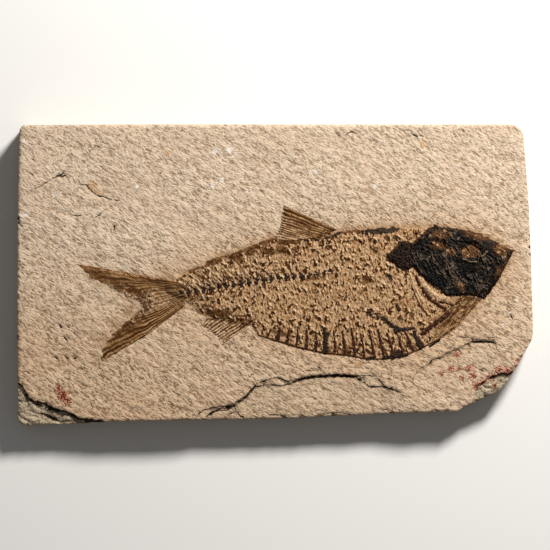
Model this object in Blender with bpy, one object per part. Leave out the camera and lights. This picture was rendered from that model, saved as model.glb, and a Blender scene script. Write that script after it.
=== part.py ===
"""Fossil fish slab: a split piece of cream limestone with the bones of a small herring-like fish on its face.

The slab lies on its back. +X runs towards the fish's head, +Y towards its back, and +Z out of the stone's
face. The origin is the middle of the underside of the slab's box. Sizes and places are in millimetres, turned
to metres by MM where an object is made.
"""

import math

import bmesh
import bpy
from mathutils import Vector, noise

MM = 0.001

# Driving dimensions of the stone
STONE_THICKNESS = 10.0
CUTTER_TOP = STONE_THICKNESS + 5  # every cutter reaches this level, clear above the face
FACE_GRID = 4.0  # spacing of the points that carry the uneven split face
FACE_WAVES = ((16.0, 0.3), (6.0, 0.15))  # wavelength and height of the face's undulation
FLANK_STEP = 0.22  # how far the film of scales stands above the stone at the fish's outline
FLANK_SWELL = 0.4  # how much further the flattened flank bulges along its middle
SAWN_EDGE_STEP = 6.0  # spacing of the points that carry the uneven sawn edges
SAWN_EDGE_UNEVENNESS = 0.25
BREAK_ROUGHNESS = 0.15
BREAK_LEAST_DEPTH = 0.15

# Driving dimensions of the bones
CLEARANCE = 0.3  # gap between each bone and the pocket in the stone that holds it
BONE_DEPTH = 0.7  # how far the skull and the fins reach into the stone
BONE_LIFT = 0.1  # how far the middle of a round bone lies above the stone's face
SKULL_STEP = 0.35  # how far the skull stands above the flank at its outline
SKULL_DOME = 0.35
SKULL_ROUGHNESS = 0.2
SKULL_GRID = 1.15
FIN_RISE = 0.3
FIN_EDGE_RISE = 0.1
FIN_RAY_RISE = 0.35
FIN_RAY_FADE = 0.7  # share of a ray's rise that is lost by its tip
VERTEBRA_PITCH = 2.3
VERTEBRA_RADIUS = 0.85
VERTEBRA_WAIST = 0.5
SPINE_RADIUS = 0.25
UPPER_SPINE = (-2.9, 3.0)  # from a vertebra's middle to its spine's tip, at the tail
LOWER_SPINE = (-2.2, -3.0)
SPINE_SHORTENING = 0.4  # share of its length that the foremost spine has lost
RIB_COUNT = 17
RIB_RADIUS = 0.42
KEEL_RADIUS = 0.5
BONE_TAPER = 0.6  # radius of a bone's thin end, as a share of its thick end's

# The slab seen from above, clockwise from its upper left corner
SLAB_OUTLINE = [
    (-76.6, 43.9), (-75.6, 45.0), (-40.0, 45.2), (20.0, 45.2), (71.5, 45.2), (73.4, 44.2),
    (74.5, 42.2), (75.4, 31.5), (76.2, 20.0), (76.8, 5.0), (77.3, -12.0), (77.4, -17.5),
    (77.0, -19.5), (73.2, -26.4), (69.0, -33.0), (67.5, -34.7), (61.5, -37.6), (57.0, -39.5),
    (54.9, -41.0), (36.0, -41.5), (0.0, -43.2), (-50.0, -44.0), (-60.0, -44.8), (-75.5, -45.2),
    (-77.2, -44.0), (-77.4, -15.0), (-77.3, 15.0), (-76.9, 38.0),
]

# The fish's outline, from the tail root to the snout
BACK_LINE = [
    (-26.7, 0.9), (-22.8, 2.3), (-17.9, 5.2), (-13.0, 6.3), (-6.7, 8.9), (-0.3, 11.1),
    (7.5, 11.4), (14.9, 12.0), (19.5, 12.9), (25.5, 13.7), (35.0, 14.2), (49.5, 14.3),
    (55.6, 13.9), (60.6, 12.6), (65.7, 10.2), (71.4, 7.2),
]
BELLY_LINE = [
    (-25.7, -8.2), (-20.7, -12.9), (-13.5, -14.1), (-7.2, -15.0), (-5.1, -18.2), (0.3, -19.8),
    (7.5, -22.0), (15.0, -23.6), (21.6, -24.2), (27.4, -25.3), (32.3, -25.4), (38.6, -24.6),
    (44.0, -22.0), (49.2, -19.5), (54.6, -15.4), (60.1, -9.1), (66.9, -1.5), (71.4, 7.2),
]
BACKBONE_LINE = [
    (-28.0, -5.6), (-23.6, -5.0), (-17.0, -3.7), (-10.1, -2.7), (-3.4, -1.6), (3.5, -0.7),
    (10.2, -0.2), (13.5, 0.5),
]

# The skull with the scaly patch behind it, clockwise from the patch's hind tip
SKULL_OUTLINE = [
    (33.5, 6.3), (36.9, 8.9), (38.4, 10.0), (41.1, 9.3), (43.8, 11.4), (46.2, 14.0),
    (48.0, 14.9), (49.5, 14.3), (55.6, 13.9), (60.6, 12.6), (65.7, 10.2), (68.4, 8.8),
    (71.5, 7.4), (69.3, 3.1), (66.9, -1.4), (65.7, -3.6), (62.8, -7.1), (60.3, -6.1),
    (56.4, -5.9), (51.6, -6.2), (47.4, -3.1), (45.5, -1.5), (43.2, 0.6), (41.6, 3.2),
    (39.0, 1.5), (36.3, 3.3), (33.9, 4.5),
]
ORBIT_CENTRE = (58.5, 7.3)
ORBIT_HALF_SIZE = (3.2, 2.4)
ORBIT_FLOOR = 0.15  # how far the orbit's floor stands above the flank
ORBIT_RIM = 0.45
ORBIT_RIM_SPAN = (0.8, 1.35)  # where its rim starts and ends, as shares of its half size
GILL_RIDGE_PITCH = 2.4
GILL_RIDGE_RISE = 0.28
GILL_RIDGE_SLOPE = (0.86, 0.51)  # direction across the ridges

# Fins: lines across the rays, from where they start to where they end, each from the first ray to the last
TAIL_FIN = [
    [(-29.8, -1.3), (-31.1, -3.6), (-30.9, -7.0), (-29.2, -11.2)],
    [
        (-42.0, 0.4), (-39.0, -2.2), (-36.0, -5.0), (-34.2, -7.2), (-34.5, -9.6), (-36.5, -13.2),
        (-39.3, -18.2),
    ],
    [
        (-59.5, 3.5), (-55.0, -0.4), (-50.3, -2.1), (-45.7, -4.8), (-41.0, -6.9), (-39.4, -9.0),
        (-41.8, -12.6), (-44.7, -15.5), (-48.4, -19.3), (-51.1, -23.3), (-52.2, -26.3),
    ],
]
TAIL_FIN_RAYS = 15
DORSAL_FIN = [
    [(19.4, 13.5), (16.9, 12.7), (12.6, 12.0), (8.6, 11.7)],
    [(2.5, 20.9), (1.7, 17.2), (1.2, 14.9), (1.1, 12.8)],
]
DORSAL_FIN_RAYS = 12
ANAL_FIN = [
    [(-6.6, -14.6), (-12.0, -13.9), (-20.4, -13.3)],
    [(-15.2, -20.4), (-18.6, -17.4), (-21.6, -15.0)],
]
ANAL_FIN_RAYS = 9

# The ribs stand on the belly line between these two places, and lean more towards the head
RIB_SPAN = (-2.2, 44.2)
RIB_TOP_Y = (-16.3, -17.0)
RIB_LEAN = (1.0, -2.6)
BROAD_RIB = 7
BROAD_RIB_RADIUS = 0.8

# Loose bones that lie across the front ribs: two of the belly fins, and one broken from the breast
LOOSE_BONES = [
    [(32.4, -24.9), (35.5, -24.2), (37.3, -22.8)],
    [(35.3, -25.4), (38.9, -24.3)],
    [(32.3, -12.8), (35.0, -15.0), (37.4, -16.6), (41.0, -16.4)],
]
LOOSE_BONE_RADIUS = 0.5

# The shoulder bone runs down behind the skull and turns back along the throat
SHOULDER_LINE = [
    (42.3, -0.6), (43.4, -2.9), (45.6, -5.9), (49.0, -8.9), (51.4, -11.3), (48.2, -14.4), (44.4, -17.2),
]
SHOULDER_RADII = [0.3, 0.35, 0.4, 0.45, 0.6, 0.8, 0.6]

# Places where a layer of the stone has split away
LOWER_LEDGE = [
    (-24.5, -42.5), (-21.6, -41.0), (-18.3, -39.9), (-13.2, -38.7), (-10.2, -37.5), (-7.8, -36.0),
    (-6.3, -33.9), (-4.8, -32.4), (-1.8, -31.2), (8.2, -30.6), (15.6, -29.9), (24.3, -30.6),
    (28.2, -33.0), (30.9, -33.6), (37.6, -35.3), (46.0, -46.0), (-30.0, -48.0),
]
THROAT_LEDGE = [
    (37.9, -32.6), (43.3, -28.4), (46.8, -26.1), (52.5, -22.7), (56.0, -20.7), (59.8, -19.6),
    (66.6, -20.7), (64.0, -30.0), (50.0, -36.0),
]
LEFT_CORNER_BREAK = [
    (-78.5, -31.5), (-76.0, -33.7), (-73.9, -36.8), (-69.9, -38.4), (-66.8, -40.1), (-63.4, -41.3),
    (-59.6, -42.8), (-56.9, -44.1), (-53.0, -46.5), (-79.0, -47.0),
]
RIGHT_CORNER_BREAK = [
    (60.5, -33.2), (63.3, -31.4), (65.6, -30.5), (67.9, -29.8), (72.5, -29.2), (76.0, -30.0),
    (70.0, -41.0), (58.0, -41.0),
]
# Each one's outline, its depth at the outline's first point, and how much deeper its floor gets with each
# millimetre along X and Y
BREAKS = {
    "lower_ledge": (LOWER_LEDGE, 0.9, (0.0, -0.01)),
    "throat_ledge": (THROAT_LEDGE, 0.25, (0.0, 0.04)),
    "left_corner_break": (LEFT_CORNER_BREAK, 1.6, (0.0, -0.12)),
    "right_corner_break": (RIGHT_CORNER_BREAK, 0.9, (0.02, -0.05)),
}

# Colour and roughness of the stone and of the two kinds of bone
LIMESTONE = ((0.60, 0.46, 0.33), 0.9)
BLACK_BONE = ((0.035, 0.025, 0.02), 0.4)
BROWN_BONE = ((0.15, 0.075, 0.03), 0.6)


def on_line(line, share):
    """The point at a share of the way along a line of points, by its length."""
    lengths = [math.dist(a, b) for a, b in zip(line, line[1:])]
    left = share * sum(lengths)
    for a, b, length in zip(line, line[1:], lengths):
        if left <= length:
            return tuple(p + (q - p) * left / length for p, q in zip(a, b))
        left -= length
    return line[-1]


def height_at(line, x):
    """The Y of a line that runs along X, at this x."""
    for (x0, y0), (x1, y1) in zip(line, line[1:]):
        if x0 <= x <= x1:
            return y0 + (y1 - y0) * (x - x0) / (x1 - x0)
    return line[0][1] if x < line[0][0] else line[-1][1]


def bedding_height(x, y):
    """How far the split bedding plane lies above its mean level: a gentle undulation."""
    return sum(rise * noise.noise(Vector((x, y, length)) / length) for length, rise in FACE_WAVES)


def roundness(x, y):
    """0 on the fish's outline and outside it, 1 along the middle of its flank."""
    low, high = height_at(BELLY_LINE, x), height_at(BACK_LINE, x)
    across = min(max((y - low) / max(high - low, 1.0), 0.0), 1.0)
    inside = BACK_LINE[0][0] < x < BACK_LINE[-1][0]
    return math.sqrt(4 * across * (1 - across)) if inside else 0.0


def flank_height(x, y):
    """The top of the flattened, scale-covered flank, above the mean level of the stone's face."""
    return bedding_height(x, y) + FLANK_STEP + FLANK_SWELL * roundness(x, y)


def face_height(x, y):
    """The level of what shows here: the flank inside the fish's outline, and the bedding plane outside it."""
    return flank_height(x, y) if roundness(x, y) > 0 else bedding_height(x, y)


def skull_height(x, y):
    """The top of the skull: a dome with the ridges of gill cover and jaws, and the orbit sunk in its rim."""
    from_eye = math.hypot(*((p - c) / half for p, c, half in zip((x, y), ORBIT_CENTRE, ORBIT_HALF_SIZE)))
    if from_eye < ORBIT_RIM_SPAN[0]:
        return flank_height(x, y) + ORBIT_FLOOR
    height = flank_height(x, y) + SKULL_STEP + SKULL_DOME * roundness(x, y)
    if from_eye < ORBIT_RIM_SPAN[1]:
        height += ORBIT_RIM
    across = (x * GILL_RIDGE_SLOPE[0] + y * GILL_RIDGE_SLOPE[1]) / GILL_RIDGE_PITCH
    height += GILL_RIDGE_RISE * math.cos(2 * math.pi * across)
    return height + SKULL_ROUGHNESS * noise.noise(Vector((x, y, 3)) / 1.7)


def collection(name, cutters=False):
    """A collection in the scene, hidden from renders where it holds cutters."""
    made = bpy.data.collections.new(name)
    bpy.context.scene.collection.children.link(made)
    made.hide_render = cutters
    return made


def give_finish(name, look, pieces):
    """Gives pieces one Principled material of this colour and roughness."""
    finish = bpy.data.materials.new(name)
    finish.use_nodes = True
    shader = finish.node_tree.nodes["Principled BSDF"]
    shader.inputs["Base Color"].default_value = (*look[0], 1.0)
    shader.inputs["Roughness"].default_value = look[1]
    for piece in pieces:
        piece.data.materials.append(finish)


def placed(name, mesh, where):
    """An object that holds this mesh, in this collection, drawn as a wire where that holds cutters."""
    made = bpy.data.objects.new(name, mesh)
    where.objects.link(made)
    if where.hide_render:
        made.hide_render = True
        made.display_type = "WIRE"
    return made


def from_millimetres(name, shape, where):
    """An object from a bmesh modelled in millimetres."""
    bmesh.ops.scale(shape, vec=(MM, MM, MM), verts=shape.verts)
    mesh = bpy.data.meshes.new(name)
    shape.to_mesh(mesh)
    shape.free()
    return placed(name, mesh, where)


def boolean(target, operation, other):
    """Cuts, joins or trims target by an object or by every object of a collection."""
    made = target.modifiers.new(operation.lower(), "BOOLEAN")
    made.operation = operation
    if isinstance(other, bpy.types.Collection):
        made.operand_type = "COLLECTION"
        made.collection = other
    else:
        made.object = other
    return made


def grid_block(name, outline, spacing, end, surface, where):
    """A block over the outline, from a flat end to a grid at the levels that surface(x, y) gives."""
    low = Vector((min(x for x, _ in outline) - 1, min(y for _, y in outline) - 1))
    high = Vector((max(x for x, _ in outline) + 1, max(y for _, y in outline) + 1))
    size, middle = high - low, (low + high) / 2
    columns, rows = round(size.x / spacing), round(size.y / spacing)
    block = bmesh.new()
    bmesh.ops.create_grid(block, x_segments=columns, y_segments=rows, size=0.5)
    bmesh.ops.scale(block, vec=(*size, 1), verts=block.verts)
    bmesh.ops.translate(block, vec=(*middle, 0), verts=block.verts)
    for v in block.verts:
        v.co.z = surface(v.co.x, v.co.y)
    close_at(block, end)
    return from_millimetres(name, block, where)


def trimmed_block(name, outline, spacing, end, surface, where, cutters):
    """A grid block trimmed to its outline."""
    block = grid_block(name, outline, spacing, end, surface, where)
    boolean(block, "INTERSECT", prism(name + "_outline", outline, 0, CUTTER_TOP + 2, cutters))
    return block


def close_at(sheet, floor):
    """Closes an open sheet into a solid with one flat face, at this level."""
    rim = [e for e in sheet.edges if e.is_boundary]
    made = bmesh.ops.extrude_edge_only(sheet, edges=rim)["geom"]
    low = [g for g in made if isinstance(g, bmesh.types.BMVert)]
    for v in low:
        v.co.z = floor
    bmesh.ops.contextual_create(sheet, geom=[e for e in sheet.edges if e.is_boundary])
    bmesh.ops.recalc_face_normals(sheet, faces=sheet.faces)


def grown(outline, by):
    """The outline moved outwards by this much. It runs clockwise."""
    made = []
    for before, here, after in zip(outline[-1:] + outline[:-1], outline, outline[1:] + outline[:1]):
        side_in = (Vector(here) - Vector(before)).normalized()
        side_out = (Vector(after) - Vector(here)).normalized()
        out_in, out_out = Vector((-side_in.y, side_in.x)), Vector((-side_out.y, side_out.x))
        middle = (out_in + out_out).normalized()
        made.append(tuple(Vector(here) + middle * by / max(middle.dot(out_in), 0.5)))
    return made


def prism(name, outline, low, high, where):
    """A flat outline as a solid from z = low to z = high: a filled 2D curve, made a mesh."""
    curve = bpy.data.curves.new(name, "CURVE")
    curve.dimensions = "2D"
    curve.fill_mode = "BOTH"
    curve.extrude = (high - low) / 2 * MM
    line = curve.splines.new("POLY")
    line.points.add(len(outline) - 1)
    for point, (x, y) in zip(line.points, outline):
        point.co = (x * MM, y * MM, 0, 1)
    line.use_cyclic_u = True
    made = bpy.data.objects.new(name, curve)
    made.location.z = (low + high) / 2 * MM
    return to_mesh(made, name, where)


def tube(name, line, radii, sides_level, where):
    """A round bar of changing radius along a line of (x, y, z) points, made a mesh."""
    curve = bpy.data.curves.new(name, "CURVE")
    curve.dimensions = "3D"
    curve.bevel_depth = MM
    curve.bevel_resolution = sides_level
    curve.use_fill_caps = True
    path = curve.splines.new("POLY")
    path.points.add(len(line) - 1)
    for point, (x, y, z), radius in zip(path.points, line, radii):
        point.co = (x * MM, y * MM, z * MM, 1)
        point.radius = radius
    return to_mesh(bpy.data.objects.new(name, curve), name, where)


def to_mesh(curve_object, name, where):
    """Turns a curve object into a mesh object with its caps welded, and removes the curve."""
    bpy.context.scene.collection.objects.link(curve_object)
    bpy.context.view_layer.update()
    evaluated = curve_object.evaluated_get(bpy.context.evaluated_depsgraph_get())
    mesh = bpy.data.meshes.new_from_object(evaluated)
    mesh.transform(curve_object.matrix_world)
    bpy.data.objects.remove(curve_object)
    welded = bmesh.new()
    welded.from_mesh(mesh)
    bmesh.ops.remove_doubles(welded, verts=welded.verts, dist=1e-6)
    bmesh.ops.recalc_face_normals(welded, faces=welded.faces)
    welded.to_mesh(mesh)
    welded.free()
    return placed(name, mesh, where)


def broken_layer(name, outline, depth, slope, cutters):
    """A cutter for a place where a layer has split away, with a rough and tilted floor."""

    def floor(x, y):
        fall = (x - outline[0][0]) * slope[0] + (y - outline[0][1]) * slope[1]
        rough = BREAK_ROUGHNESS * noise.noise(Vector((x, y, 5)) / 2.5)
        return STONE_THICKNESS + bedding_height(x, y) - max(depth + fall + rough, BREAK_LEAST_DEPTH)

    return trimmed_block(name, outline, FACE_GRID, CUTTER_TOP, floor, cutters, cutters)


def fan(lines, rays, rows, floor):
    """A fin: rays through the given lines, each a ridge with a furrow on either side, on a thin plate."""
    columns = 2 * rays
    fin = bmesh.new()
    bmesh.ops.create_grid(fin, x_segments=columns, y_segments=rows, size=0.5)
    for v in fin.verts:
        across, along = v.co.x + 0.5, v.co.y + 0.5
        x, y = on_line([on_line(line, across) for line in lines], along)
        on_ray = round(across * columns) % 2
        at_edge = min(across, 1 - across, along, 1 - along) < 0.5 / (columns + rows)
        plate = FIN_EDGE_RISE if at_edge else FIN_RISE
        ray = FIN_RAY_RISE * on_ray * (1 - FIN_RAY_FADE * along)
        v.co = (x, y, STONE_THICKNESS + face_height(x, y) + plate + ray)
    close_at(fin, floor)
    return fin


def make_slab(part, cutters, pockets):
    """The stone: a split face trimmed to the sawn outline, with its broken layers and the bones' pockets."""

    def surface(x, y):
        return STONE_THICKNESS + bedding_height(x, y)

    slab = grid_block("limestone_slab", SLAB_OUTLINE, FACE_GRID, 0.0, surface, part)
    boolean(slab, "INTERSECT", sawn_sides(cutters))
    for name, (outline, depth, slope) in BREAKS.items():
        boolean(slab, "DIFFERENCE", broken_layer(name, outline, depth, slope, cutters))
    boolean(slab, "UNION", flank(cutters))
    cut = boolean(slab, "DIFFERENCE", pockets)
    cut.solver = "MANIFOLD"  # the exact solver leaves doubled edges along the rim here
    return slab


def flank(cutters):
    """The fish's flattened body, a low swelling of the stone under its film of scales."""
    outline = BACK_LINE + BELLY_LINE[-2::-1]
    return trimmed_block(
        "flank",
        outline,
        FACE_GRID,
        STONE_THICKNESS / 2,
        lambda x, y: STONE_THICKNESS + flank_height(x, y),
        cutters,
        cutters,
    )


def sawn_sides(cutters):
    """The slab's outline as a tall prism whose walls are slightly uneven, as a sawn and handled edge is."""
    rings = (-2.0, STONE_THICKNESS * 0.3, STONE_THICKNESS * 0.7, CUTTER_TOP)
    sides = bmesh.new()
    corners = []
    for a, b in zip(SLAB_OUTLINE, SLAB_OUTLINE[1:] + SLAB_OUTLINE[:1]):
        steps = max(1, round(math.dist(a, b) / SAWN_EDGE_STEP))
        corners += [tuple(p + (q - p) * n / steps for p, q in zip(a, b)) for n in range(steps)]
    sides.faces.new([sides.verts.new((x, y, rings[0])) for x, y in corners])
    for low, high in zip(rings, rings[1:]):
        rim = [e for e in sides.edges if e.is_boundary]
        made = bmesh.ops.extrude_edge_only(sides, edges=rim)["geom"]
        raised = [g for g in made if isinstance(g, bmesh.types.BMVert)]
        bmesh.ops.translate(sides, vec=(0, 0, high - low), verts=raised)
    bmesh.ops.contextual_create(sides, geom=[e for e in sides.edges if e.is_boundary])
    for v in sides.verts:
        if rings[0] < v.co.z < rings[-1]:
            share = SAWN_EDGE_UNEVENNESS * (0.6 + noise.noise(v.co / 5)) / v.co.xy.length
            v.co.xy *= 1 - share
    bmesh.ops.recalc_face_normals(sides, faces=sides.faces)
    return from_millimetres("sawn_sides", sides, cutters)


def make_skull(part, cutters, pockets):
    """The flattened skull with jaws and gill cover: one cracked mass of bone, with the sunken orbit."""
    pocket(SKULL_OUTLINE, "skull", pockets)
    return trimmed_block(
        "skull",
        SKULL_OUTLINE,
        SKULL_GRID,
        STONE_THICKNESS - BONE_DEPTH,
        lambda x, y: STONE_THICKNESS + skull_height(x, y),
        part,
        cutters,
    )


def pocket(outline, name, pockets, floor=STONE_THICKNESS - BONE_DEPTH):
    """The pocket in the stone for a bone of this outline, clear of it all round and below."""
    if area_of(outline) > 0:
        outline = outline[::-1]
    prism(name + "_pocket", grown(outline, CLEARANCE), floor - CLEARANCE, CUTTER_TOP, pockets)


def area_of(outline):
    """Twice the outline's area: above zero where it runs anticlockwise."""
    return sum(a[0] * b[1] - b[0] * a[1] for a, b in zip(outline, outline[1:] + outline[:1]))


def laid(line):
    """The line's points, laid on the face for the middle of a round bone."""
    return [(x, y, STONE_THICKNESS + face_height(x, y) + BONE_LIFT) for x, y in line]


def bar(name, line, radii, sides_level, where, pockets):
    """A round bone laid on the stone, and its trench."""
    path = laid(line)
    bone = tube(name, path, radii, sides_level, where)
    left, right = [], []
    for n, (x, y) in enumerate(line):
        before, after = Vector(line[max(n - 1, 0)]), Vector(line[min(n + 1, len(line) - 1)])
        along = (after - before).normalized()
        left.append((x - along.y * radii[n], y + along.x * radii[n]))
        right.append((x + along.y * radii[n], y - along.x * radii[n]))
    floor = min(z - radius for (_, _, z), radius in zip(path, radii))
    pocket(left + right[::-1], name, pockets, floor)
    return bone


def make_fin(name, lines, rays, rows, part, pockets):
    """A fin's fan of rays, pressed flat, and its pocket."""
    first_ray, last_ray = [line[0] for line in lines], [line[-1] for line in lines]
    outline = first_ray[:-1] + lines[-1] + last_ray[-2::-1] + lines[0][-2:0:-1]
    pocket(outline, name, pockets)
    return from_millimetres(name, fan(lines, rays, rows, STONE_THICKNESS - BONE_DEPTH), part)


def make_backbone(part, pockets):
    """The row of hourglass vertebrae that shows in the tail half, with the spines above and below them."""
    length = sum(math.dist(a, b) for a, b in zip(BACKBONE_LINE, BACKBONE_LINE[1:]))
    count = round(length / VERTEBRA_PITCH)
    stations = [on_line(BACKBONE_LINE, n / (2 * count)) for n in range(2 * count + 1)]
    radii = [VERTEBRA_WAIST if n % 2 else VERTEBRA_RADIUS for n in range(2 * count + 1)]
    backbone = tube("backbone", laid(stations), radii, 1, part)
    row = [(x, y + VERTEBRA_RADIUS) for x, y in BACKBONE_LINE]
    row += [(x, y - VERTEBRA_RADIUS) for x, y in reversed(BACKBONE_LINE)]
    pocket(row, "backbone", pockets, STONE_THICKNESS - VERTEBRA_RADIUS - CLEARANCE)
    spines = collection("spines", cutters=True)
    for n in range(1, count):
        foot = Vector(stations[2 * n])
        slopes = (UPPER_SPINE, LOWER_SPINE) if n < count // 2 else (UPPER_SPINE,)
        for number, slope in enumerate(slopes):
            tip = foot + Vector(slope) * (1 - SPINE_SHORTENING * n / count)
            radii = [SPINE_RADIUS, SPINE_RADIUS * BONE_TAPER]
            bar(f"spine_{n}_{number}", [tuple(foot), tuple(tip)], radii, 0, spines, pockets)
    boolean(backbone, "UNION", spines)
    return backbone


def make_ribs(part, pockets):
    """The belly ribs, the keel of belly scutes that joins their feet, and the loose bones across them."""
    keel = [(x, y + KEEL_RADIUS) for x, y in BELLY_LINE if RIB_SPAN[0] - 4 < x < RIB_SPAN[1] + 1]
    ribs = bar("belly_ribs", keel, [KEEL_RADIUS] * len(keel), 1, part, pockets)
    bars = collection("rib_bars", cutters=True)
    for n in range(RIB_COUNT):
        share = n / (RIB_COUNT - 1)
        foot_x = RIB_SPAN[0] + (RIB_SPAN[1] - RIB_SPAN[0]) * share
        top_x = foot_x + RIB_LEAN[0] + (RIB_LEAN[1] - RIB_LEAN[0]) * share
        top_y = RIB_TOP_Y[0] + (RIB_TOP_Y[1] - RIB_TOP_Y[0]) * share
        radius = BROAD_RIB_RADIUS if n == BROAD_RIB else RIB_RADIUS
        foot = (foot_x, height_at(keel, foot_x))
        bar(f"rib_{n}", [foot, (top_x, top_y)], [radius, radius * BONE_TAPER], 1, bars, pockets)
    for n, line in enumerate(LOOSE_BONES):
        radii = [LOOSE_BONE_RADIUS * BONE_TAPER] + [LOOSE_BONE_RADIUS] * (len(line) - 1)
        bar(f"loose_bone_{n}", line, radii, 1, bars, pockets)
    boolean(ribs, "UNION", bars)
    return ribs


def make_shoulder(part, pockets):
    """The shoulder bone: thin where it follows the gill cover, broad where it turns back along the throat."""
    return bar("shoulder_bone", SHOULDER_LINE, SHOULDER_RADII, 1, part, pockets)


def main():
    for leftover in list(bpy.data.objects):
        bpy.data.objects.remove(leftover)
    part = collection("fossil_fish_slab")
    cutters = collection("cutters", cutters=True)
    pockets = collection("bone_pockets", cutters=True)
    black = [make_skull(part, cutters, pockets), make_backbone(part, pockets)]
    brown = [
        make_ribs(part, pockets),
        make_shoulder(part, pockets),
        make_fin("tail_fin", TAIL_FIN, TAIL_FIN_RAYS, 5, part, pockets),
        make_fin("dorsal_fin", DORSAL_FIN, DORSAL_FIN_RAYS, 4, part, pockets),
        make_fin("anal_fin", ANAL_FIN, ANAL_FIN_RAYS, 3, part, pockets),
    ]
    stone = [make_slab(part, cutters, pockets)]
    give_finish("limestone", LIMESTONE, stone)
    give_finish("black_bone", BLACK_BONE, black)
    give_finish("brown_bone", BROWN_BONE, brown)


main()
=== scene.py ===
import math

import bmesh
import bpy
import numpy as np
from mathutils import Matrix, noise


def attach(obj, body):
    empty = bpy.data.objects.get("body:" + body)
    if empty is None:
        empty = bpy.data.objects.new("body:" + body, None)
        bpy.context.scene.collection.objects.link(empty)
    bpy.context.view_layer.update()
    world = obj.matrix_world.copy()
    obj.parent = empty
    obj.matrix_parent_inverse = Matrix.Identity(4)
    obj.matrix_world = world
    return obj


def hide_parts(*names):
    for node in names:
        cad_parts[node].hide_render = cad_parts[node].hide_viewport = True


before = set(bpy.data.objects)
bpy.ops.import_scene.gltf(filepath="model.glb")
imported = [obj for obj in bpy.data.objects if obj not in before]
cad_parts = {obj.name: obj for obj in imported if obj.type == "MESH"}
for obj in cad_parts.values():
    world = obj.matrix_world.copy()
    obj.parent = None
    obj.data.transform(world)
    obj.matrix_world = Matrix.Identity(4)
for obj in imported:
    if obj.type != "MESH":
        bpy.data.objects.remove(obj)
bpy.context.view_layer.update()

# The stone: a sawn piece of laminated cream limestone, split along its bedding, so that its face is rough,
# gently uneven and streaked down to the right. Layers have flaked off along its lower edge and at two of its
# corners. Sizes and places are in millimetres, in the part's own frame.

MM = 0.001
STONE_THICKNESS = 10.0
FACE_WAVES = ((16.0, 0.3), (6.0, 0.15))  # wavelength and height of the split face's undulation
STREAK_ANGLE = math.radians(-30)
GRAIN = ((5.0, 2.4, 0.2), (2.0, 1.0, 0.2))  # length, width and height of the grain
FACE_CELLS = (370, 222)
LOWER_CROWDING = 0.25  # how much closer than the mean the rows of the mesh lie along the lower edge
RIM_INSET = 0.22
RIM_DROP = 0.3
CHIP_SIZE = 0.5
SIDE_LEVELS = (0.965, 0.9, 0.82, 0.73, 0.62, 0.53, 0.42, 0.31, 0.2, 0.09, 0.0)  # shares of the thickness
SIDE_INSETS = (0.0, 0.06, 0.16, 0.05, 0.2, 0.08, 0.14, 0.28, 0.1, 0.2, 0.4)

# The slab seen from above, clockwise from its upper left corner
SLAB_OUTLINE = [
    (-76.6, 43.9), (-75.6, 45.0), (-40.0, 45.2), (20.0, 45.2), (71.5, 45.2), (73.4, 44.2),
    (74.5, 42.2), (75.4, 31.5), (76.2, 20.0), (76.8, 5.0), (77.3, -12.0), (77.4, -17.5),
    (77.0, -19.5), (73.2, -26.4), (69.0, -33.0), (67.5, -34.7), (61.5, -37.6), (57.0, -39.5),
    (54.9, -41.0), (36.0, -41.5), (0.0, -43.2), (-50.0, -44.0), (-60.0, -44.8), (-75.5, -45.2),
    (-77.2, -44.0), (-77.4, -15.0), (-77.3, 15.0), (-76.9, 38.0),
]
TOP_SIDE = SLAB_OUTLINE[:6]
RIGHT_SIDE = SLAB_OUTLINE[15:4:-1]
BOTTOM_SIDE = SLAB_OUTLINE[24:14:-1]
LEFT_SIDE = SLAB_OUTLINE[24:] + SLAB_OUTLINE[:1]

# The broken edges of the layers that have split away, each from left to right
UPPER_LEDGE = [
    (-23.9, -42.7), (-21.6, -40.6), (-17.9, -39.7), (-13.3, -39.0), (-10.1, -37.2), (-8.3, -35.8),
    (-6.9, -34.0), (-5.4, -32.6), (-1.0, -31.0), (0.9, -30.8), (3.6, -31.9), (7.8, -31.0),
    (10.5, -30.3), (15.1, -29.9), (19.7, -29.9), (24.3, -30.1), (30.3, -30.3), (31.2, -31.7),
    (33.0, -33.5), (37.2, -35.1),
]
LOWER_LEDGE = [
    (-21.6, -43.9), (-19.3, -41.3), (-15.6, -39.9), (-12.9, -39.4), (-9.8, -37.6), (-7.8, -35.9),
    (-6.4, -33.9), (-3.7, -33.0), (3.2, -33.1), (6.4, -31.9), (10.5, -30.8), (15.1, -30.3),
    (19.7, -30.3), (24.3, -30.5), (26.2, -31.9), (28.4, -33.5), (32.6, -33.6), (35.3, -34.2),
    (37.9, -35.4),
]
THROAT_LEDGE = [
    (41.0, -31.7), (42.6, -29.2), (44.2, -27.5), (45.8, -26.8), (47.4, -25.5), (49.8, -24.8),
    (51.4, -23.4), (53.6, -22.7), (56.3, -21.2), (58.7, -20.1), (60.8, -19.9), (64.3, -19.9),
    (66.4, -20.7),
]
LEFT_CORNER = [
    (-78.5, -31.5), (-76.0, -33.4), (-75.2, -34.3), (-74.0, -36.7), (-72.5, -37.8), (-70.7, -38.2),
    (-68.8, -38.7), (-66.6, -40.2), (-65.0, -40.6), (-63.4, -40.9), (-60.8, -41.8), (-59.1, -43.1),
    (-57.3, -43.7), (-51.0, -44.3),
]
RIGHT_CORNER = [
    (60.5, -33.3), (62.4, -32.2), (63.6, -31.1), (65.4, -30.5), (67.0, -29.8), (68.3, -29.4),
    (69.6, -29.9), (71.1, -29.2), (74.0, -29.0),
]
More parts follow.
